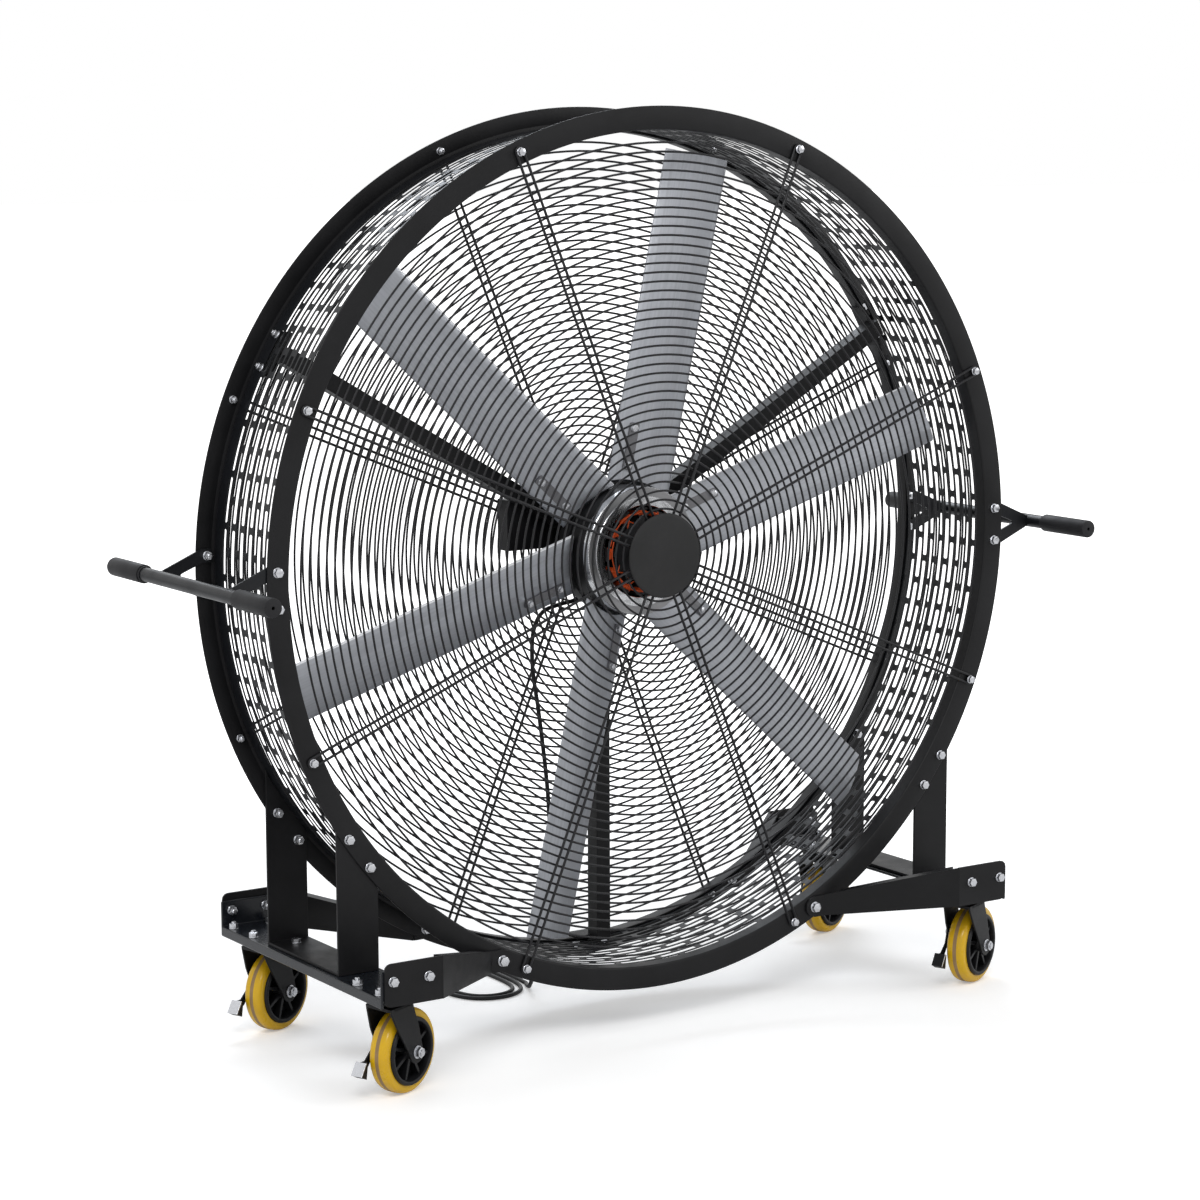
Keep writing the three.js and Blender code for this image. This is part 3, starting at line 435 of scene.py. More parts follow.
def lathe(profile, segs=96):
    """Turns a closed profile of (radius, y) about the Y axis."""
    profile = np.asarray(profile, dtype=float)
    count = len(profile)
    angles = np.linspace(0, 2 * math.pi, segs, endpoint=False)
    verts = np.stack(
        [
            np.outer(np.sin(angles), profile[:, 0]),
            np.tile(profile[:, 1], (segs, 1)),
            np.outer(np.cos(angles), profile[:, 0]),
        ],
        axis=2,
    ).reshape(-1, 3)
    faces = []
    for i in range(segs):
        a, b = i * count, ((i + 1) % segs) * count
        for j in range(count):
            k = (j + 1) % count
            if profile[j, 0] < 1e-9 and profile[k, 0] < 1e-9:
                continue
            faces.append((a + j, a + k, b + k, b + j))
    return weld(verts, faces)


def weld(verts, faces):
    """Merges the points that lie on the axis or on each other."""
    keys, index = {}, []
    kept = []
    for v in np.round(verts, 5):
        key = tuple(v)
        if key not in keys:
            keys[key] = len(kept)
            kept.append(v)
        index.append(keys[key])
    clean = []
    for face in faces:
        face = [index[i] for i in face]
        face = [i for n, i in enumerate(face) if i != face[n - 1]]
        if len(face) > 2:
            clean.append(tuple(face))
    return np.array(kept), clean


def arc(centre, radius, start, stop, steps):
    angles = np.radians(np.linspace(start, stop, steps + 1))
    return [(centre[0] + radius * math.cos(a), centre[1] + radius * math.sin(a)) for a in angles]


def rounded(points, radius, steps=3):
    """A closed outline with its corners rounded. A radius may be given for each point."""
    radii = radius if isinstance(radius, (list, tuple)) else [radius] * len(points)
    out = []
    for i, p in enumerate(points):
        p = Vector(p)
        a = Vector(points[i - 1]) - p
        b = Vector(points[(i + 1) % len(points)]) - p
        turn = a.angle(b)
        r = radii[i]
        if r <= 0 or turn > 3.1:
            out.append(tuple(p))
            continue
        reach = min(r / math.tan(turn / 2), a.length * 0.49, b.length * 0.49)
        start, stop = p + a.normalized() * reach, p + b.normalized() * reach
        for n in range(steps + 1):
            t = n / steps
            q = start.lerp(p, t).lerp(p.lerp(stop, t), t)
            out.append(tuple(q))
    return out


def mirrored(half):
    """Half of an outline, and then its mirror image in reverse."""
    return half + [(x, -y) for x, y in reversed(half)]


def prism(outline, low, high, upright=True):
    """A flat sheet. Upright: the outline's (x, y) are (x, z), and the sheet runs along Y."""
    count = len(outline)
    if upright:
        verts = [(x, low, z) for x, z in outline] + [(x, high, z) for x, z in outline]
    else:
        verts = [(x, y, low) for x, y in outline] + [(x, y, high) for x, y in outline]
    faces = [tuple(range(count)), tuple(range(2 * count - 1, count - 1, -1))]
    faces += [(i, (i + 1) % count, count + (i + 1) % count, count + i) for i in range(count)]
    return np.array(verts), faces


def block(low, high):
    (a, b, c), (d, e, f) = low, high
    return prism([(a, b), (d, b), (d, e), (a, e)], c, f, upright=False)


def sweep(path, radius, sides=10, closed=False):
    """A round bar along points, with slightly rounded ends."""
    path = np.asarray(path, dtype=float)
    count = len(path)
    if closed:
        tangents = np.roll(path, -1, 0) - np.roll(path, 1, 0)
    else:
        tangents = np.gradient(path, axis=0)
    tangents /= np.linalg.norm(tangents, axis=1)[:, None]
    side = np.cross(tangents[0], (0, 0, 1) if abs(tangents[0][2]) < 0.9 else (1, 0, 0))
    side /= np.linalg.norm(side)
    sides_at = []
    for t in tangents:
        side = side - t * side.dot(t)
        side /= np.linalg.norm(side)
        sides_at.append(side)
    angles = np.linspace(0, 2 * math.pi, sides, endpoint=False)
    rings = []
    places = [(path[i], tangents[i], sides_at[i], radius) for i in range(count)]
    if not closed:
        inset = radius * 0.25
        places[0] = (path[0] + tangents[0] * inset, tangents[0], sides_at[0], radius)
        places[-1] = (path[-1] - tangents[-1] * inset, tangents[-1], sides_at[-1], radius)
        places = [(path[0], tangents[0], sides_at[0], radius * 0.75)] + places
        places.append((path[-1], tangents[-1], sides_at[-1], radius * 0.75))
    for p, t, s, r in places:
        other = np.cross(t, s)
        rings.append(p + r * (np.outer(np.cos(angles), s) + np.outer(np.sin(angles), other)))
    total = len(rings)
    verts = np.vstack(rings)
    faces = []
    for i in range(total if closed else total - 1):
        a, b = i * sides, ((i + 1) % total) * sides
        for j in range(sides):
            k = (j + 1) % sides
            faces.append((a + j, a + k, b + k, b + j))
    if not closed:
        faces.append(tuple(range(sides - 1, -1, -1)))
        faces.append(tuple(range((total - 1) * sides, total * sides)))
    return verts, faces


def between(t, low, high, a, b):
    """The point at t on the line that is at a where t is low, and at b where t is high."""
    return (high - t) / (high - low) * a + (t - low) / (high - low) * b


def smooth_path(points, step):
    """Points along a Catmull-Rom curve, about step apart."""
    p = np.asarray(points, dtype=float)
    ends = [2 * p[0] - p[1], *p, 2 * p[-1] - p[-2]]
    out = []
    for i in range(1, len(ends) - 2):
        a, b, c, d = ends[i - 1 : i + 3]
        n = max(1, int(round(np.linalg.norm(c - b) / step)))
        knots = [0.0]
        for q, r in ((a, b), (b, c), (c, d)):
            knots.append(knots[-1] + max(np.linalg.norm(r - q), 1e-6) ** 0.5)
        for t in np.linspace(knots[1], knots[2], n, endpoint=False):
            k0, k1, k2, k3 = knots
            first = between(t, k0, k1, a, b)
            middle = between(t, k1, k2, b, c)
            last = between(t, k2, k3, c, d)
            near, far = between(t, k0, k2, first, middle), between(t, k1, k3, middle, last)
            out.append(between(t, k1, k2, near, far))
    out.append(p[-1])
    return np.array(out)


def aimed(place, axis):
    """A matrix that takes a shape along +Y to a place and a direction."""
    q = Vector((0, 1, 0)).rotation_difference(Vector(axis).normalized())
    return Matrix.Translation(place) @ q.to_matrix().to_4x4()


def washer(radius, thick):
    c = min(0.35, thick * 0.3)
    edge = [(radius - c, 0), (radius, c), (radius, thick - c), (radius - c, thick)]
    return lathe([*edge, (0, thick), (0, 0)], 28)


def hexagon(across, height, low):
    """A hexagon head or nut along +Y from low, its corners turned off at the top."""
    r = across / 2
    corner = r / math.cos(math.pi / 6)
    top = low + height
    verts, faces = [], []
    for radius, y in ((corner, low), (corner, top - (corner - r) * 0.6), (r * 0.94, top)):
        for i in range(6):
            a = math.radians(60 * i)
            verts.append((radius * math.sin(a), y, radius * math.cos(a)))
    for i in range(6):
        j = (i + 1) % 6
        faces += [(i, j, 6 + j, 6 + i), (6 + i, 6 + j, 12 + j, 12 + i)]
    faces += [tuple(range(12, 18)), tuple(range(5, -1, -1))]
    return np.array(verts), faces


def bolt(piece, place, axis, across=13, nut=False, matrix=None, slot=0):
    """A washer and a hexagon head. With nut: the bolt's threaded end stands out of it."""
    m = (matrix if matrix is not None else Matrix()) @ aimed(place, axis)
    piece.add(washer(across * 0.63, 1.6), m, slot)
    height = across * (0.62 if nut else 0.5)
    piece.add(hexagon(across, height, 1.6), m, slot)
    if nut:
        r = across * 0.31
        end = 1.6 + height + 3.2
        piece.add(lathe([(0, height), (r, height), (r, end - 1), (r - 1, end), (0, end)], 16), m, slot)


def through_bolt(piece, x, z, way, head_y, nut_y, head=14, nut=14, matrix=None):
    """A bolt along Y, with its head on one face of the joint and its nut on the other."""
    bolt(piece, (x, way * head_y, z), (0, way, 0), head, matrix=matrix)
    bolt(piece, (x, way * nut_y, z), (0, -way, 0), nut, nut=True, matrix=matrix)


def rounded_copy(node, name, material, body, bevel):
    """The CAD node's own solid, with its flat faces joined up and its edges softened."""
    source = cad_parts[node]
    bm = bmesh.new()
    bm.from_mesh(source.data)
    bm.transform(source.matrix_world)
    bmesh.ops.remove_doubles(bm, verts=bm.verts, dist=2e-6)
    bmesh.ops.dissolve_limit(bm, angle_limit=math.radians(1.5), verts=bm.verts, edges=bm.edges)
    mesh = bpy.data.meshes.new(name)
    bm.to_mesh(mesh)
    bm.free()
    mesh.materials.clear()
    mesh.materials.append(material)
    for polygon in mesh.polygons:
        polygon.material_index = 0
    return finish_piece(mesh, name, body, node, 32, bevel)


# ---------------------------------------------------------------- cords

LOOP_CENTRE, LOOP_RADIUS, LOOP_DRAW, LOOP_TUCK = (-146, 328), 91, 16.4, 14
LOOP_STRETCH, LOOP_SQUARE, LOOP_FROM, LOOP_TO = 68, 2.5, -20, 880
CORD_R = 4
CLAMP_X, CLAMP_Y = -100, 153
CLAMP_Z = AXIS - math.sqrt(BOLT_R ** 2 - CLAMP_X ** 2)


def smoothstep(x, low, high):
    t = min(1, max(0, (x - low) / (high - low)))
    return t * t * (3 - 2 * t)


def loop_point(angle):
    turns = (angle - LOOP_FROM) / 360
    total = (LOOP_TO - LOOP_FROM) / 360
    radius = LOOP_RADIUS - LOOP_DRAW * turns - LOOP_TUCK * smoothstep(turns, total - 0.35, total)
    s = math.sin(math.radians(angle))
    low = CORD_R + 0.2
    return (
        LOOP_CENTRE[0] + radius * math.cos(math.radians(angle)),
        LOOP_CENTRE[1] + radius * s + LOOP_STRETCH * math.tanh(LOOP_SQUARE * s) / math.tanh(LOOP_SQUARE),
        low + smoothstep(turns, total - 0.2, total - 0.04) * (9.2 - low),
    )


DROP = [
    (CLAMP_X, CLAMP_Y, CLAMP_Z - 16.3), (CLAMP_X, CLAMP_Y, 76), (-99.7, 153.8, 64), (-98.6, 157, 51),
    (-96, 163.5, 38.5), (-92, 173, 27), (-87, 185, 17.5), (-80, 199, 10.5), (-72.5, 214, 6.2),
    (-66.5, 230, 4.4),
]
LEAD = [
    (0, 102, AXIS - 20.3), (0, 102, 842), (-1, 102, 815), (-7, 103, 788), (-30, 104, 769), (-67, 105, 762),
    (-103, 106, 751), (-122, 107, 720), (-126, 107, 655), (-114, 107, 571), (-106, 107, 513),
    (-95, 107, 420), (-90, 107, 340), (-89, 109, 285), (-90, 118, 243), (-94, 135, 207), (-98, 148, 174),
    (-100, 153, 145), (-100, 153, 132), (CLAMP_X, CLAMP_Y, CLAMP_Z + 16.3),
]


def make_cords():
    loops = [loop_point(LOOP_FROM + 15 * i) for i in range(int((LOOP_TO - LOOP_FROM) / 15) + 1)]
    ahead = np.array(loops[1]) - np.array(loops[0])
    ahead /= np.linalg.norm(ahead)
    path = smooth_path([*DROP, tuple(np.array(loops[0]) - 9 * ahead), *loops], 5)
    path[:, 2] = np.maximum(path[:, 2], CORD_R + 0.15)
    length = float(np.linalg.norm(np.diff(path, axis=0), axis=1).sum()) / 1000
    cord = Piece().add(sweep(path, CORD_R, 14)).build(
        "power_cord_run", cable_rubber, "frame", "black_rubber", ("power_cord", "power_cord_loops"), 60
    )
    way = path[-1] - path[-2]
    way[2] = 0
    way /= np.linalg.norm(way)
    m = aimed(path[-1] + way * 0.3, way)
    plug = Piece()
    neck = [(0, 0), (4.7, 0), (5.2, 0.6)]
    for i in range(4):
        y = 3 + i * 4.2
        wider = i * 0.7
        neck += [(5.3 + wider, y), (4.3 + wider, y + 0.8), (4.3 + wider, y + 1.8), (5.9 + wider, y + 2.6)]
    neck += [(8.2, 21), (8.4, 23), (0, 23)]
    plug.add(lathe(neck, 28), m)
    flat = rounded([(-11, 22), (11, 22), (11, 50), (8.5, 56), (-8.5, 56), (-11, 50)], 3, 4)
    plug.add(prism(flat, -8.6, 8.6, upright=False), m)
    plug.add(prism([(x * 0.72, 26 + (y - 22) * 0.75) for x, y in flat], -9, 9, upright=False), m)
    for side in (-1, 1):
        plug.add(lathe([(0, 55), (2.4, 55), (2.4, 71.5), (1.4, 74), (0, 74)], 16), m @ at(side * 6, 0, 0), 1)
    plug = plug.build("plug", [black_plastic, brass_metal], "frame", "black_plastic", "power_plug", 35, 0.7)
    lead = Piece().add(sweep(smooth_path(LEAD, 6), CORD_R, 14))
    lead.build("motor_lead_run", cable_rubber, "frame", "black_rubber", "motor_lead", 60)


def make_clamp():
    clamp = Piece()
    base = rounded([(-15, -16), (15, -16), (15, 16), (-15, 16)], 4)
    clamp.add(prism(base, 135.3, 138.3), at(CLAMP_X, 0, CLAMP_Z))
    clamp.add(prism([(-5, -12), (5, -12), (5, 12), (-5, 12)], 137, CLAMP_Y), at(CLAMP_X, 0, CLAMP_Z))
    half = [(0, -16), (5.4, -16), (6.2, -15), (6.4, -11), (8, -10)]
    clamp.add(lathe(mirrored(half), 32), at(CLAMP_X, CLAMP_Y, CLAMP_Z) @ Matrix.Rotation(math.pi / 2, 4, "X"))
    clamp.build("cord_gland", black_plastic, "frame", "black_plastic", "cord_clamp", 35, 0.5)


make_cords()
make_clamp()


# ---------------------------------------------------------------- drum

def perforated_shell():
    """The drum's skin: staggered columns of long slots, between plain margins."""
    inner, outer = SKIN_IN, SKIN_OUT
    cells, columns, pitch, first, parts = 53, 13, 16.0, -104.0, 6
    length, width, corner, phase = 78.5, 11.6, 3.5, math.radians(-2.1)
    step = 2 * math.pi * outer / cells
    left, right = (step - length) / 2, (step + length) / 2
    low, high = (pitch - width) / 2, (pitch + width) / 2
    across = [step * i / parts for i in range(parts + 1)]
    border = [(u, 0) for u in across] + [(u, pitch) for u in reversed(across)]
    between = [(u, low) for u in across if left + corner + 1 < u < right - corner - 1]
    ring = arc((right - corner, low + corner), corner, 270, 360, 3)
    ring += arc((right - corner, high - corner), corner, 0, 90, 3)
    ring += [(u, high) for u, _ in reversed(between)]
    ring += arc((left + corner, high - corner), corner, 90, 180, 3)
    ring += arc((left + corner, low + corner), corner, 180, 270, 3)
    ring += between
    points = border + ring
    n, nb = len(ring), len(border)
    edges = [(i, (i + 1) % nb) for i in range(nb)] + [(nb + i, nb + (i + 1) % n) for i in range(n)]
    made = delaunay_2d_cdt([Vector(p) for p in points], edges, [], 1, 1e-6)
    source = [ids[0] for ids in made[3]]
    flat = [[source[i] for i in face] for face in made[2]]
    flat = [ids for ids in flat if any(i < nb for i in ids)]
    verts, faces = [], []

    def place(u, v, radius):
        a = u / outer + phase
        verts.append((radius * math.sin(a), v, radius * math.cos(a)))

    for column in range(columns):
        for cell in range(cells):
            base = len(verts)
            u0 = (cell + (0.5 if column % 2 else 0)) * step
            v0 = first + column * pitch
            for radius in (outer, inner):
                for u, v in points:
                    place(u0 + u, v0 + v, radius)
            m = len(points)
            faces += [tuple(base + i for i in f) for f in flat]
            faces += [tuple(base + m + i for i in reversed(f)) for f in flat]
            for i in range(n):
                a, b = base + nb + i, base + nb + (i + 1) % n
                faces.append((b, a, a + m, b + m))
    rows = [-131.2, -122, -113, first]
    rear = [first + columns * pitch, 113, 122, 131.2]
    count = cells * parts
    for band in (rows, rear):
        for radius in (outer, inner):
            for v in band:
                for i in range(count):
                    place(i * step / parts, v, radius)
        base = len(verts) - 8 * count
        edge = 0 if band is rows else 3
        for row, other in ((0, 1), (1, 2), (2, 3), (4, 5), (5, 6), (6, 7), (4 + edge, edge)):
            a, b = base + row * count, base + other * count
            faces += [(a + i, a + (i + 1) % count, b + (i + 1) % count, b + i) for i in range(count)]
    skin = Piece().add(weld(np.array(verts), faces), DRUM)
    skin.build("perforated_skin", black_drum, "frame", PAINT, "drum_shell", 30)


def make_rims():
    """Angle rings: a flange with a small return at its edge, and a collar inside the skin."""
    out, low = RIM_OUT, RIM_IN
    inside = FACE - 3.5
    profile = [
        *arc((out - 1.6, -FACE + 1.6), 1.6, 270, 360, 3),
        *arc((out - 1.2, -inside - 1.2), 1.2, 0, 90, 2),
        (771.5, -inside), (770.6, -inside - 0.4), (769.6, -inside - 0.4), (768.8, -inside),
        (761.5, -inside), (761.5, 28 - FACE), (761, 28.4 - FACE), (low + 0.5, 28.4 - FACE), (low, 28 - FACE),
        *arc((low + 4, -FACE + 4), 4, 180, 270, 5),
    ]
    for name, way in (("front", 1), ("rear", -1)):
        rim = Piece().add(lathe(profile, 240), DRUM @ Matrix.Diagonal((1, way, 1, 1)))
        rim.build(f"{name}_rim_ring", black_coat, "frame", PAINT, f"{name}_rim", 40)


def make_guard(way):
    """Round rings welded behind eight hairpins that loop round their bolts on the rim."""
    front = way < 0
    name = "front" if front else "rear"
    guard = Piece()
    y_spoke, y_ring = way * 137.8, way * 133.3
    radii = [DISC_EDGE + GUARD_PITCH * i for i in range(GUARD_RINGS)]
    if not front:
        radii = [51.5, 67.8] + radii
    wire = [(2 * math.cos(a), 2 * math.sin(a)) for a in np.radians(np.arange(0, 360, 45))]
    for r in radii:
        circle = [(r + x, y_ring + y) for x, y in wire]
        guard.add(lathe(circle, 168 if r > 300 else 112), DRUM)
    start = 70 if front else 47
    leg = [(x, y_spoke, -7.5) for x in np.linspace(start, BOLT_R, 12)]
    turn = np.radians(np.linspace(-75, 75, 11))
    bend = [(BOLT_R + 7.5 * math.cos(a), y_spoke, 7.5 * math.sin(a)) for a in turn]
    bar = sweep(leg + bend + [(x, y, -z) for x, y, z in reversed(leg)], 2.5, 12)
    for angle in SPOKES:
        guard.add(bar, DRUM @ turn_y(angle))
    if not front:
        half = [(38, 131.6), (58, 131.6), (59, 132.2), (59, 134.4), (58, 135), (38, 135)]
        guard.add(lathe([*half, (37, 134.4), (37, 132.2)], 72), DRUM)
    guard.build(f"{name}_guard_wires", black_wire, "frame", "black_wire", f"{name}_guard", 50)


def make_disc():
    y = -140.6
    face = [(0, y - 4), (70, y - 4), (74.5, y - 3.6), (76.6, y - 2.4), (77, y - 1), (76.6, y), (0, y)]
    disc = Piece().add(lathe(face, 96), DRUM)
    disc.build("centre_disc", disc_coat, "frame", PAINT, "front_guard_disc", 50)


def drum_bolts():
    bolts = Piece()
    for way in (-1, 1):
        for angle in SPOKES:
            through_bolt(bolts, BOLT_R, 0, way, 140.3, 131.4, 12, 11, DRUM @ turn_y(angle))
        for side in (-1, 1):
            for z in (-31, 31):
                through_bolt(bolts, side * 780, AXIS + z, way, FACE, 127.1, nut=13)
            for x, z in ((653, 435), (613, 381)):
                through_bolt(bolts, side * x, z, way, FACE, 126.1)
    for angle in FEET:
        for offset in (-2.4, 2.4):
            m = DRUM @ turn_y(angle + offset)
            bolt(bolts, (SKIN_OUT, 108, 0), (1, 0, 0), 12, nut=True, matrix=m)
    bolts.build("drum_bolts", zinc_metal, "frame", "zinc", (), 32)


perforated_shell()
make_rims()
make_guard(-1)
make_guard(1)
make_disc()
drum_bolts()


# ---------------------------------------------------------------- motor and rotor

def make_stator():
    """Laminated teeth, each with a bundle of turns wound round it."""
    core = Piece().add(lathe([(20.3, -70), (54, -70), (54, -18), (20.3, -18)], 72), DRUM)
    for i in range(12):
        m = DRUM @ turn_y(30 * i)
        side = [(52, -6.4), (74, -6.4), (77, -13), (79.4, -12.4)]
        tooth = [*side, (80, 0), *[(x, -z) for x, z in reversed(side)]]
        core.add(prism(tooth, -69.9, -18.1), m)
    core.build("stator_stack", laminations, "frame", "laminations", "stator_core", 30, 0.3)
    coils = Piece()
    for i in range(12):
        m = DRUM @ turn_y(30 * i)
        for layer in range(2):
            half = 7.9 + 1.7 * layer
            low, high = -71.3 - 1.7 * layer, -16.9 + 1.7 * layer
            for k in range(5 - layer):
                x = 67.2 + (k + 0.5 * layer) * 1.75
                loop = rounded([(-half, low), (half, low), (half, high), (-half, high)], 5.5, 4)
                coils.add(sweep([(x, b, a) for a, b in loop], 0.86, 6, closed=True), m)
            slant = 1 - 2 * layer
            cross = [
                (76.5 - 20 * t, -74.6 - 2.2 * math.sin(math.pi * t), (8 - 16 * t) * slant)
                for t in np.linspace(0, 1, 9)
            ]
            if i % 3:
                coils.add(sweep(cross, 1.15, 6), m)
    for i in range(6):
        m = DRUM @ turn_y(60 * i + 15)
        tie = arc((0, 0), 70 + 2.2 * (i % 3), -34, 34, 14)
        coils.add(sweep([(x, -75.6 - (i % 2) * 1.4, z) for x, z in tie], 1.2, 6), m)
    coils.build("stator_coils", enamel, "frame", "winding_enamel", "stator_windings", 50)


def make_housing():
    face = [
        (84, -72), (85, -73), (100.6, -73), (101.4, -72.2), (101.4, -70.6), (116.3, -70.6), (117.5, -69.4),
        (117.5, -54), (116.7, -53), (84.4, -53), (84, -53.6),
    ]
    housing = Piece().add(lathe(face, 160), DRUM)
    housing.add(lathe([(101.6, -70.9), (116.1, -70.9), (116.1, -70), (101.6, -70)], 160), DRUM, 2)
    can = [
        (84.5, -53), (116.2, -53), (117.2, -52), (117.5, -50), (117.5, 27), (114.5, 30), (94, 30), (90, 27.5),
        (58, 27.5), (54, 30), (35.3, 30), (35.3, 20), (84, 20), (84, -52.5),
    ]
    housing.add(lathe(can, 160), DRUM, 1)
    for k in range(24):
        m = DRUM @ turn_y(15 * k)
        housing.add(block((60, 27.3, -1.2), (89, 29.8, 1.2)), m, 1)
    metals = [turned_metal, black_coat, turned_face]
    housing.build("rotor_can", metals, "rotor", "housing_aluminium", "rotor_housing", 32)
    bearing = [
        (20.5, 20), (24, 20), (24.6, 20.6), (30, 20.6), (30.6, 20), (35, 20),
        (35, 30), (30.6, 30), (30, 29.3), (24.6, 29.3), (24, 30), (20.5, 30),
    ]
    races = Piece().add(lathe(bearing, 64), DRUM)
    races.build("rotor_ball_bearing", steel_metal, "rotor", "steel", "rotor_bearing", 32)
    shaft = [(0, -84), (17.5, -84), (20, -81.5), (20, 100), (18.5, 101), (18.5, 110.5), (17, 112), (0, 112)]
    shaft_piece = Piece().add(lathe(shaft, 64), DRUM)
    shaft_piece.add(hexagon(34, 8, 92.2), DRUM)
    shaft_piece.build("motor_axle", steel_metal, "frame", "steel", "motor_shaft", 32, 0.3)


def blade_section():
    """An extruded aerofoil with a flat back and fine ribs along its front."""
    half, aside, thick, rib_height = 60.5, 12, 14, 0.3
    knots = [
        (-1, 0.02), (-0.985, 0.12), (-0.8, 0.38), (-0.4, 0.74), (0, 0.97),
        (0.3, 1.0), (0.62, 0.86), (0.85, 0.6), (0.96, 0.36), (1.0, 0.12),
    ]
    xs = np.linspace(-1, 1, 47)
    hs = np.interp(xs, [k[0] for k in knots], [k[1] for k in knots])
    front = []
    for i, (x, h) in enumerate(zip(xs, hs)):
        rib = rib_height if i % 2 and 1 < i < 45 else 0
        front.append((aside + x * half, rib - h * thick))
    back = [(half * 0.99, -0.2), (half * 0.97, 0), (-half * 0.97, 0), (-half, -0.2)]
    return front, [(aside + x, y) for x, y in back]


def wing(front, back, root, tip):
    """A blade's body: straight at the tip, and cut round the sleeve at its root."""
    outline = front + back
    n = len(outline)
    verts = [(x, y, math.sqrt(root ** 2 - x ** 2)) for x, y in outline] + [(x, y, tip) for x, y in outline]
    faces = [(i, (i + 1) % n, n + (i + 1) % n, n + i) for i in range(n)]
    faces += [tuple(reversed(range(n))), tuple(range(n, 2 * n))]
    return verts, faces


# Painted highlights: bright strips on the nose of two blades and the tail of a third, where light from above
# catches them.
PAINTED_HIGHLIGHT_FACES = {2: (45, 46), 3: (45, 46), 6: (0, 49)}


def make_blades():
    front, back = blade_section()
    tilt = Matrix.Rotation(-PITCH, 4, "Z")
    metals = [blade_metal, zinc_metal, strap_metal, painted_highlight_metal]
    for i, angle in enumerate(BLADES):
        m = DRUM @ Matrix.Rotation(math.radians(90 - angle), 4, "Y") @ tilt @ at(0, -0.3, 0)
        blade = Piece().add(wing(front, back, BLADE_ROOT, BLADE_TIP), m)
        # These faces get the bright metal as a painted highlight.
        for face in PAINTED_HIGHLIGHT_FACES.get(i + 1, ()):
            blade.slots[face] = 3
        strap = rounded([(-27, 140.8), (-9, 140.8), (-9, 228.8), (-27, 228.8)], 4)
        blade.add(prism(strap, -13.4, -7.6), m, 2)
        for z in (150, 219):
            bolt(blade, (-18, -13.4, z), (0, -1, 0), 11, matrix=m, slot=1)
        blade.build(f"blade_{i + 1}_profile", metals, "rotor", "blade_aluminium", f"blade_{i + 1}", 28)
    rounded_copy("blade_carrier", "blade_star", black_coat, "rotor", 0.8)


def make_mount():
    rounded_copy("motor_mount", "motor_spider", black_coat, "frame", 0.8)
    bolts = Piece()
    for angle in FEET:
        m = DRUM @ turn_y(angle)
        for r in (72, 88):
            bolt(bolts, (r, 60, 0), (0, -1, 0), 12, matrix=m)
    for k in range(6):
        bolt(bolts, (48, 92, 0), (0, 1, 0), 11, matrix=DRUM @ turn_y(60 * k))
    bolts.build("spider_bolts", zinc_metal, "frame", "zinc", (), 32)


def make_box():
    rounded_copy("control_box", "drive_box", black_plastic, "frame", 1.2)
    rounded_copy("control_box_cover", "drive_box_lid", black_plastic, "frame", 1.0)
    box = Piece()
    for x in (-178, -74):
        for z in (AXIS + 5, AXIS + 81):
            m = aimed((x, 127.1, z), (0, 1, 0))
            box.add(lathe([(0, 0), (3.6, 0), (3.4, 1), (2.4, 1.7), (0, 1.9)], 20), m)
    for k in range(5):
        z = AXIS + 14 + k * 13
        box.add(block((-178, 126.8, z), (-74, 128.2, z + 3)))
    box.build("drive_box_screws", black_plastic, "frame", "black_plastic", (), 32, 0.3)


make_stator()
make_housing()
make_blades()
make_mount()
make_box()


# ---------------------------------------------------------------- handles

def make_handles():
    for side, sign in (("left", -1), ("right", 1)):
        bar = Piece()
        tube = [(10.5, -295.7), (12.5, -295.7), (12.5, 295.7), (10.5, 295.7)]
        bar.add(lathe(tube, 48), at(sign * HANDLE_X, 0, AXIS))
        for low, high in ((-131.2, -127.2), (127.2, 131.2)):
            fork = rounded(
                [
                    (768, 19), (768, 43), (791, 43), (864.2, 11.6),
                    (864.2, -11.6), (791, -43), (768, -43), (768, -19),
                    (788, -19), (836, 0), (788, 19),
                ],
                [4, 8, 8, 0, 0, 8, 8, 4, 5, 4, 5],
            )
            bar.add(prism([(sign * x, z) for x, z in fork], low, high), DRUM)
            for z in (-9.4, 9.4):
                weld_bead = [
                    (sign * (866.3 + 1.2 * math.sin(k * 2.1)), low - 0.6 + k * 0.65, AXIS + z)
                    for k in range(9)
                ]
                bar.add(sweep(weld_bead, 1.7, 8))
        bar.build(f"{side}_push_bar", black_drum, "frame", PAINT, f"{side}_handle", 35, 0.5)
        for end, way in (("front", -1), ("rear", 1)):
            sleeve = [
                (3, 296.3), (3, 299.6), (3.4, 300), (14.6, 300), (15.9, 299.3),
                (16.5, 297.6), (16.5, 179.5), (16.2, 178.6), (15.6, 178.6), (15.2, 180),
                (14.9, 178.6), (14.3, 174.6), (13.6, 174), (13.2, 174), (13.2, 296.3),
            ]
            m = at(sign * HANDLE_X, 0, AXIS) @ Matrix.Diagonal((1, way, 1, 1))
            grip = Piece().add(lathe(sleeve, 56), m)
            name = f"{side}_{end}"
            grip.build(f"{name}_sleeve", black_rubber, "frame", "black_rubber", f"{name}_grip", 35)


make_handles()


# ---------------------------------------------------------------- stand

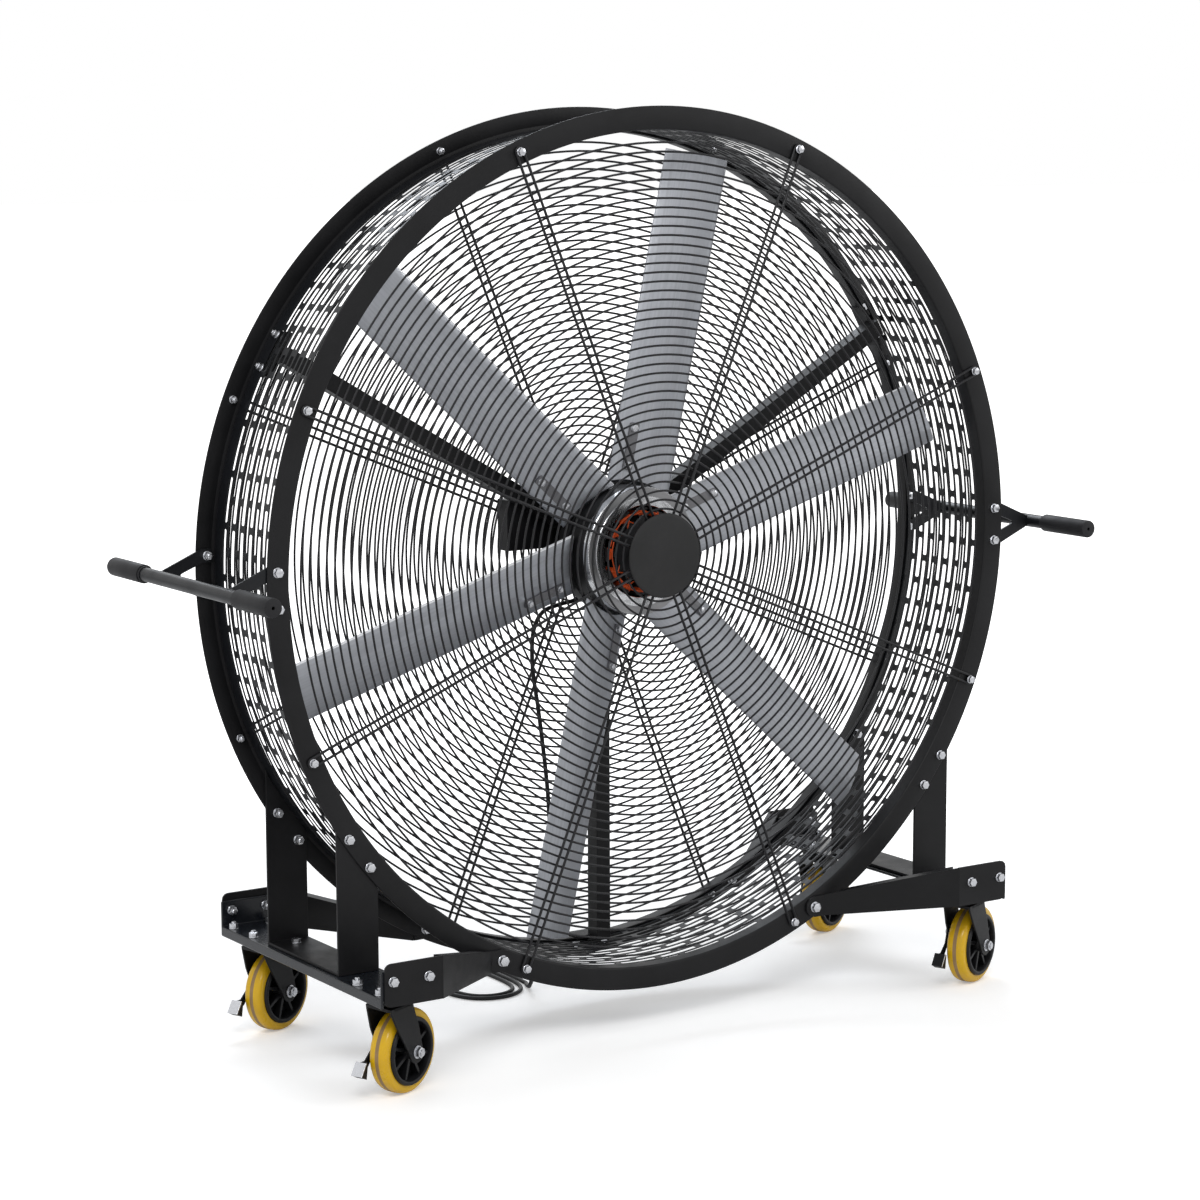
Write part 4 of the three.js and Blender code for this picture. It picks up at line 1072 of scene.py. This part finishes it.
def make_stand():
    bolts = Piece()
    for side, sign in (("left", -1), ("right", 1)):
        rounded_copy(f"{side}_post_frame", f"{side}_posts", black_coat, "frame", 1.0)
        # The decks take the blue-tinted coat, whose tint is a painted sheen.
        rounded_copy(f"{side}_base_plate", f"{side}_deck", painted_sheen_deck, "frame", 2.6)
        for y in (-98, 98):
            bolt(bolts, (sign * CASTER_X, y, 200.3), (0, 0, 1), 14)
        for end, way in (("front", -1), ("rear", 1)):
            rounded_copy(f"{end}_{side}_stay", f"{end}_{side}_brace", black_coat, "frame", 0.9)
            for x in (664.5, 595):
                through_bolt(bolts, sign * x, 224, way, 301.3, 292)
            through_bolt(bolts, sign * 348, 176.5, way, 139.3, 131.5, 16)
            for x in (CASTER_X - 37, CASTER_X + 37):
                for y in (CASTER_Y - 39, CASTER_Y + 39):
                    bolt(bolts, (sign * x, way * y, 195), (0, 0, 1), 14, nut=True)
    bolts.build("stand_bolts", zinc_metal, "frame", "zinc", (), 32)


make_stand()


# ---------------------------------------------------------------- casters

def fork_shape():
    """Crown, a near leg, and a far leg that carries the brake. The trail runs along +X."""
    fork = Piece()
    crown = rounded([(-34, -31.5), (30, -31.5), (30, 31.5), (-22, 31.5)], [8, 4, 4, 8], 5)
    fork.add(prism(crown, 160, 165.9, upright=False))
    end = [*arc((TRAIL, WHEEL_R), 20, 196, 344, 16), (46, 122), (32, 158), (30, 165.9)]
    near = [(-34, 165.9), (-32.5, 158), (-13, 124), (10, 88), (16, 79)]
    far = [(-22, 165.9), (-21, 158), (-16, 138), (-12, 122), (-6, 108), (0, 99), (2.5, 91), (8, 85), (16, 79)]
    fork.add(prism(near + end, -31.5, -27.5))
    fork.add(prism(far + end, 27.5, 31.5))
    return fork


def axle_bolts():
    bolts = Piece()
    for way in (-1, 1):
        turn = Matrix() if way > 0 else Matrix.Rotation(math.pi, 4, "Z")
        m = at(TRAIL, 31.5 * way, WHEEL_R) @ turn
        bolts.add(washer(11.5, 1.8), m)
        bolts.add(hexagon(17, 8, 1.8), m)
    bolts.add(lathe([(0, -43.4), (6, -43.4), (6, 43.4), (0, 43.4)], 32), at(TRAIL, 0, WHEEL_R))
    stud = [(0, 31), (4, 31), (4, 35.2), (6.8, 35.2), (6.8, 37), (5.8, 38), (0, 38)]
    bolts.add(lathe(stud, 28), at(10, 0, 100))
    return bolts


def move(piece, matrix):
    """Moves a piece that was written in the caster's own frame to where the caster is."""
    m = Matrix(matrix)
    m.translation = m.translation * 0.001
    piece.data.transform(m)


def make_caster(place, sx, sy):
    caster = at(sx * CASTER_X, sy * CASTER_Y, 0)
    swivel = caster @ Matrix.Rotation(HEADING, 4, "Z")
    plate = Piece()
    top = rounded([(-43, -52.5), (43, -52.5), (43, 52.5), (-43, 52.5)], 7, 4)
    plate.add(prism(top, 184.7, 189.7, upright=False), caster)
    up = caster @ Matrix.Rotation(math.pi / 2, 4, "X")
    race = [(0, 166.4), (26.5, 166.4), (28, 168), (28, 174), (26.8, 175.2), (26.8, 177), (28, 178.2)]
    plate.add(lathe([*race, (28, 185), (0, 185)], 64), up)
    plate.add(lathe([(0, 155), (7, 155), (7, 167), (0, 167)], 32), up)
    plate.add(hexagon(20, 5.6, 154), up)
    plate.build(f"{place}_top_plate", black_coat, "frame", PAINT, f"{place}_caster_plate", 32, 0.6)

    body, node = f"{place}_swivel", f"{place}_caster_fork"
    move(fork_shape().build(f"{place}_fork", black_coat, body, PAINT, node, 32, 1.0, 3), swivel)
    move(axle_bolts().build(f"{place}_axle_bolt", zinc_metal, body, "zinc", (), 32), swivel)

    wheel = swivel @ at(TRAIL, 0, WHEEL_R)
    body = f"{place}_wheel"
    core = Piece()
    side = [(52, -21.5), (52.8, -23.2), (54.5, -24), (57.2, -24), (59.2, -23), (60, -21)]
    core.add(lathe(mirrored(side) + [(50.5, 8), (50.5, -8)], 96), wheel)
    hub = [(6.6, -27), (11.5, -27), (13, -26), (13.6, -20), (15, -17)]
    core.add(lathe(mirrored(hub), 48), wheel)
    core.add(lathe([(14, -2.2), (51.5, -2.2), (51.5, 2.2), (14, 2.2)], 96), wheel)
    for k in range(8):
        m = wheel @ turn_y(45 * k + 28)
        core.add(prism([(13.5, -3.4), (51.5, -2.6), (51.5, 2.6), (13.5, 3.4)], -18, 18), m)
    core.build(f"{place}_wheel_centre", black_plastic, body, "black_plastic", f"{place}_wheel_core", 32, 0.6)

    tread = Piece()
    half = [(60.3, -18.3), (64, -18.5), (67.5, -18.2), (70.6, -17.2), (72.8, -15.2), (74, -12.4)]
    half += [(74.7, -8.4), (74.95, -4.1)]
    tread.add(lathe(mirrored(half), 128), wheel)
    line = [(74.3, -4), (74.97, -3.8), (WHEEL_R, 0), (74.97, 3.8), (74.3, 4)]
    tread.add(lathe(line, 128), wheel, 1)
    tread.build(f"{place}_tread", [tread_yellow, tread_line], body, "tread_yellow", f"{place}_tyre", 50)

    pedal = Piece()
    ear = [(-61, 49), (-46.5, 41), (-16, 53), (10, 84)]
    ear += [*arc((10, 100), 9, -50, 160, 10), (-6, 80), (-24, 65), (-44, 66)]
    pedal.add(prism(ear, 31.8, 34.8), swivel)
    pedal.add(prism([(-47, 69.8), (-61.3, 49), (-46.5, 41), (-42, 67.5)], 12.4, 34.6), swivel)
    pedal.add(prism([(-47.5, 70.2), (-62, 48.8), (-60.8, 48), (-46.3, 69.4)], 12.8, 34.8), swivel, 1)
    # A thin strip of bright metal along the pedal's lower edge: a painted highlight.
    pedal.add(prism([(-47.6, 70.3), (-62.2, 48.7), (-60.8, 47.8), (-46.2, 69.4)], 12, 12.8), swivel, 2)
    bright = zinc_metal if place.endswith("left") else black_plastic
    skins = [black_plastic, bright, painted_highlight_metal]
    body, node = f"{place}_brake", f"{place}_brake_pedal"
    pedal.build(f"{place}_brake_lever", skins, body, "zinc", node, 32, 0.5)


for place, (sx, sy) in CORNERS.items():
    make_caster(place, sx, sy)
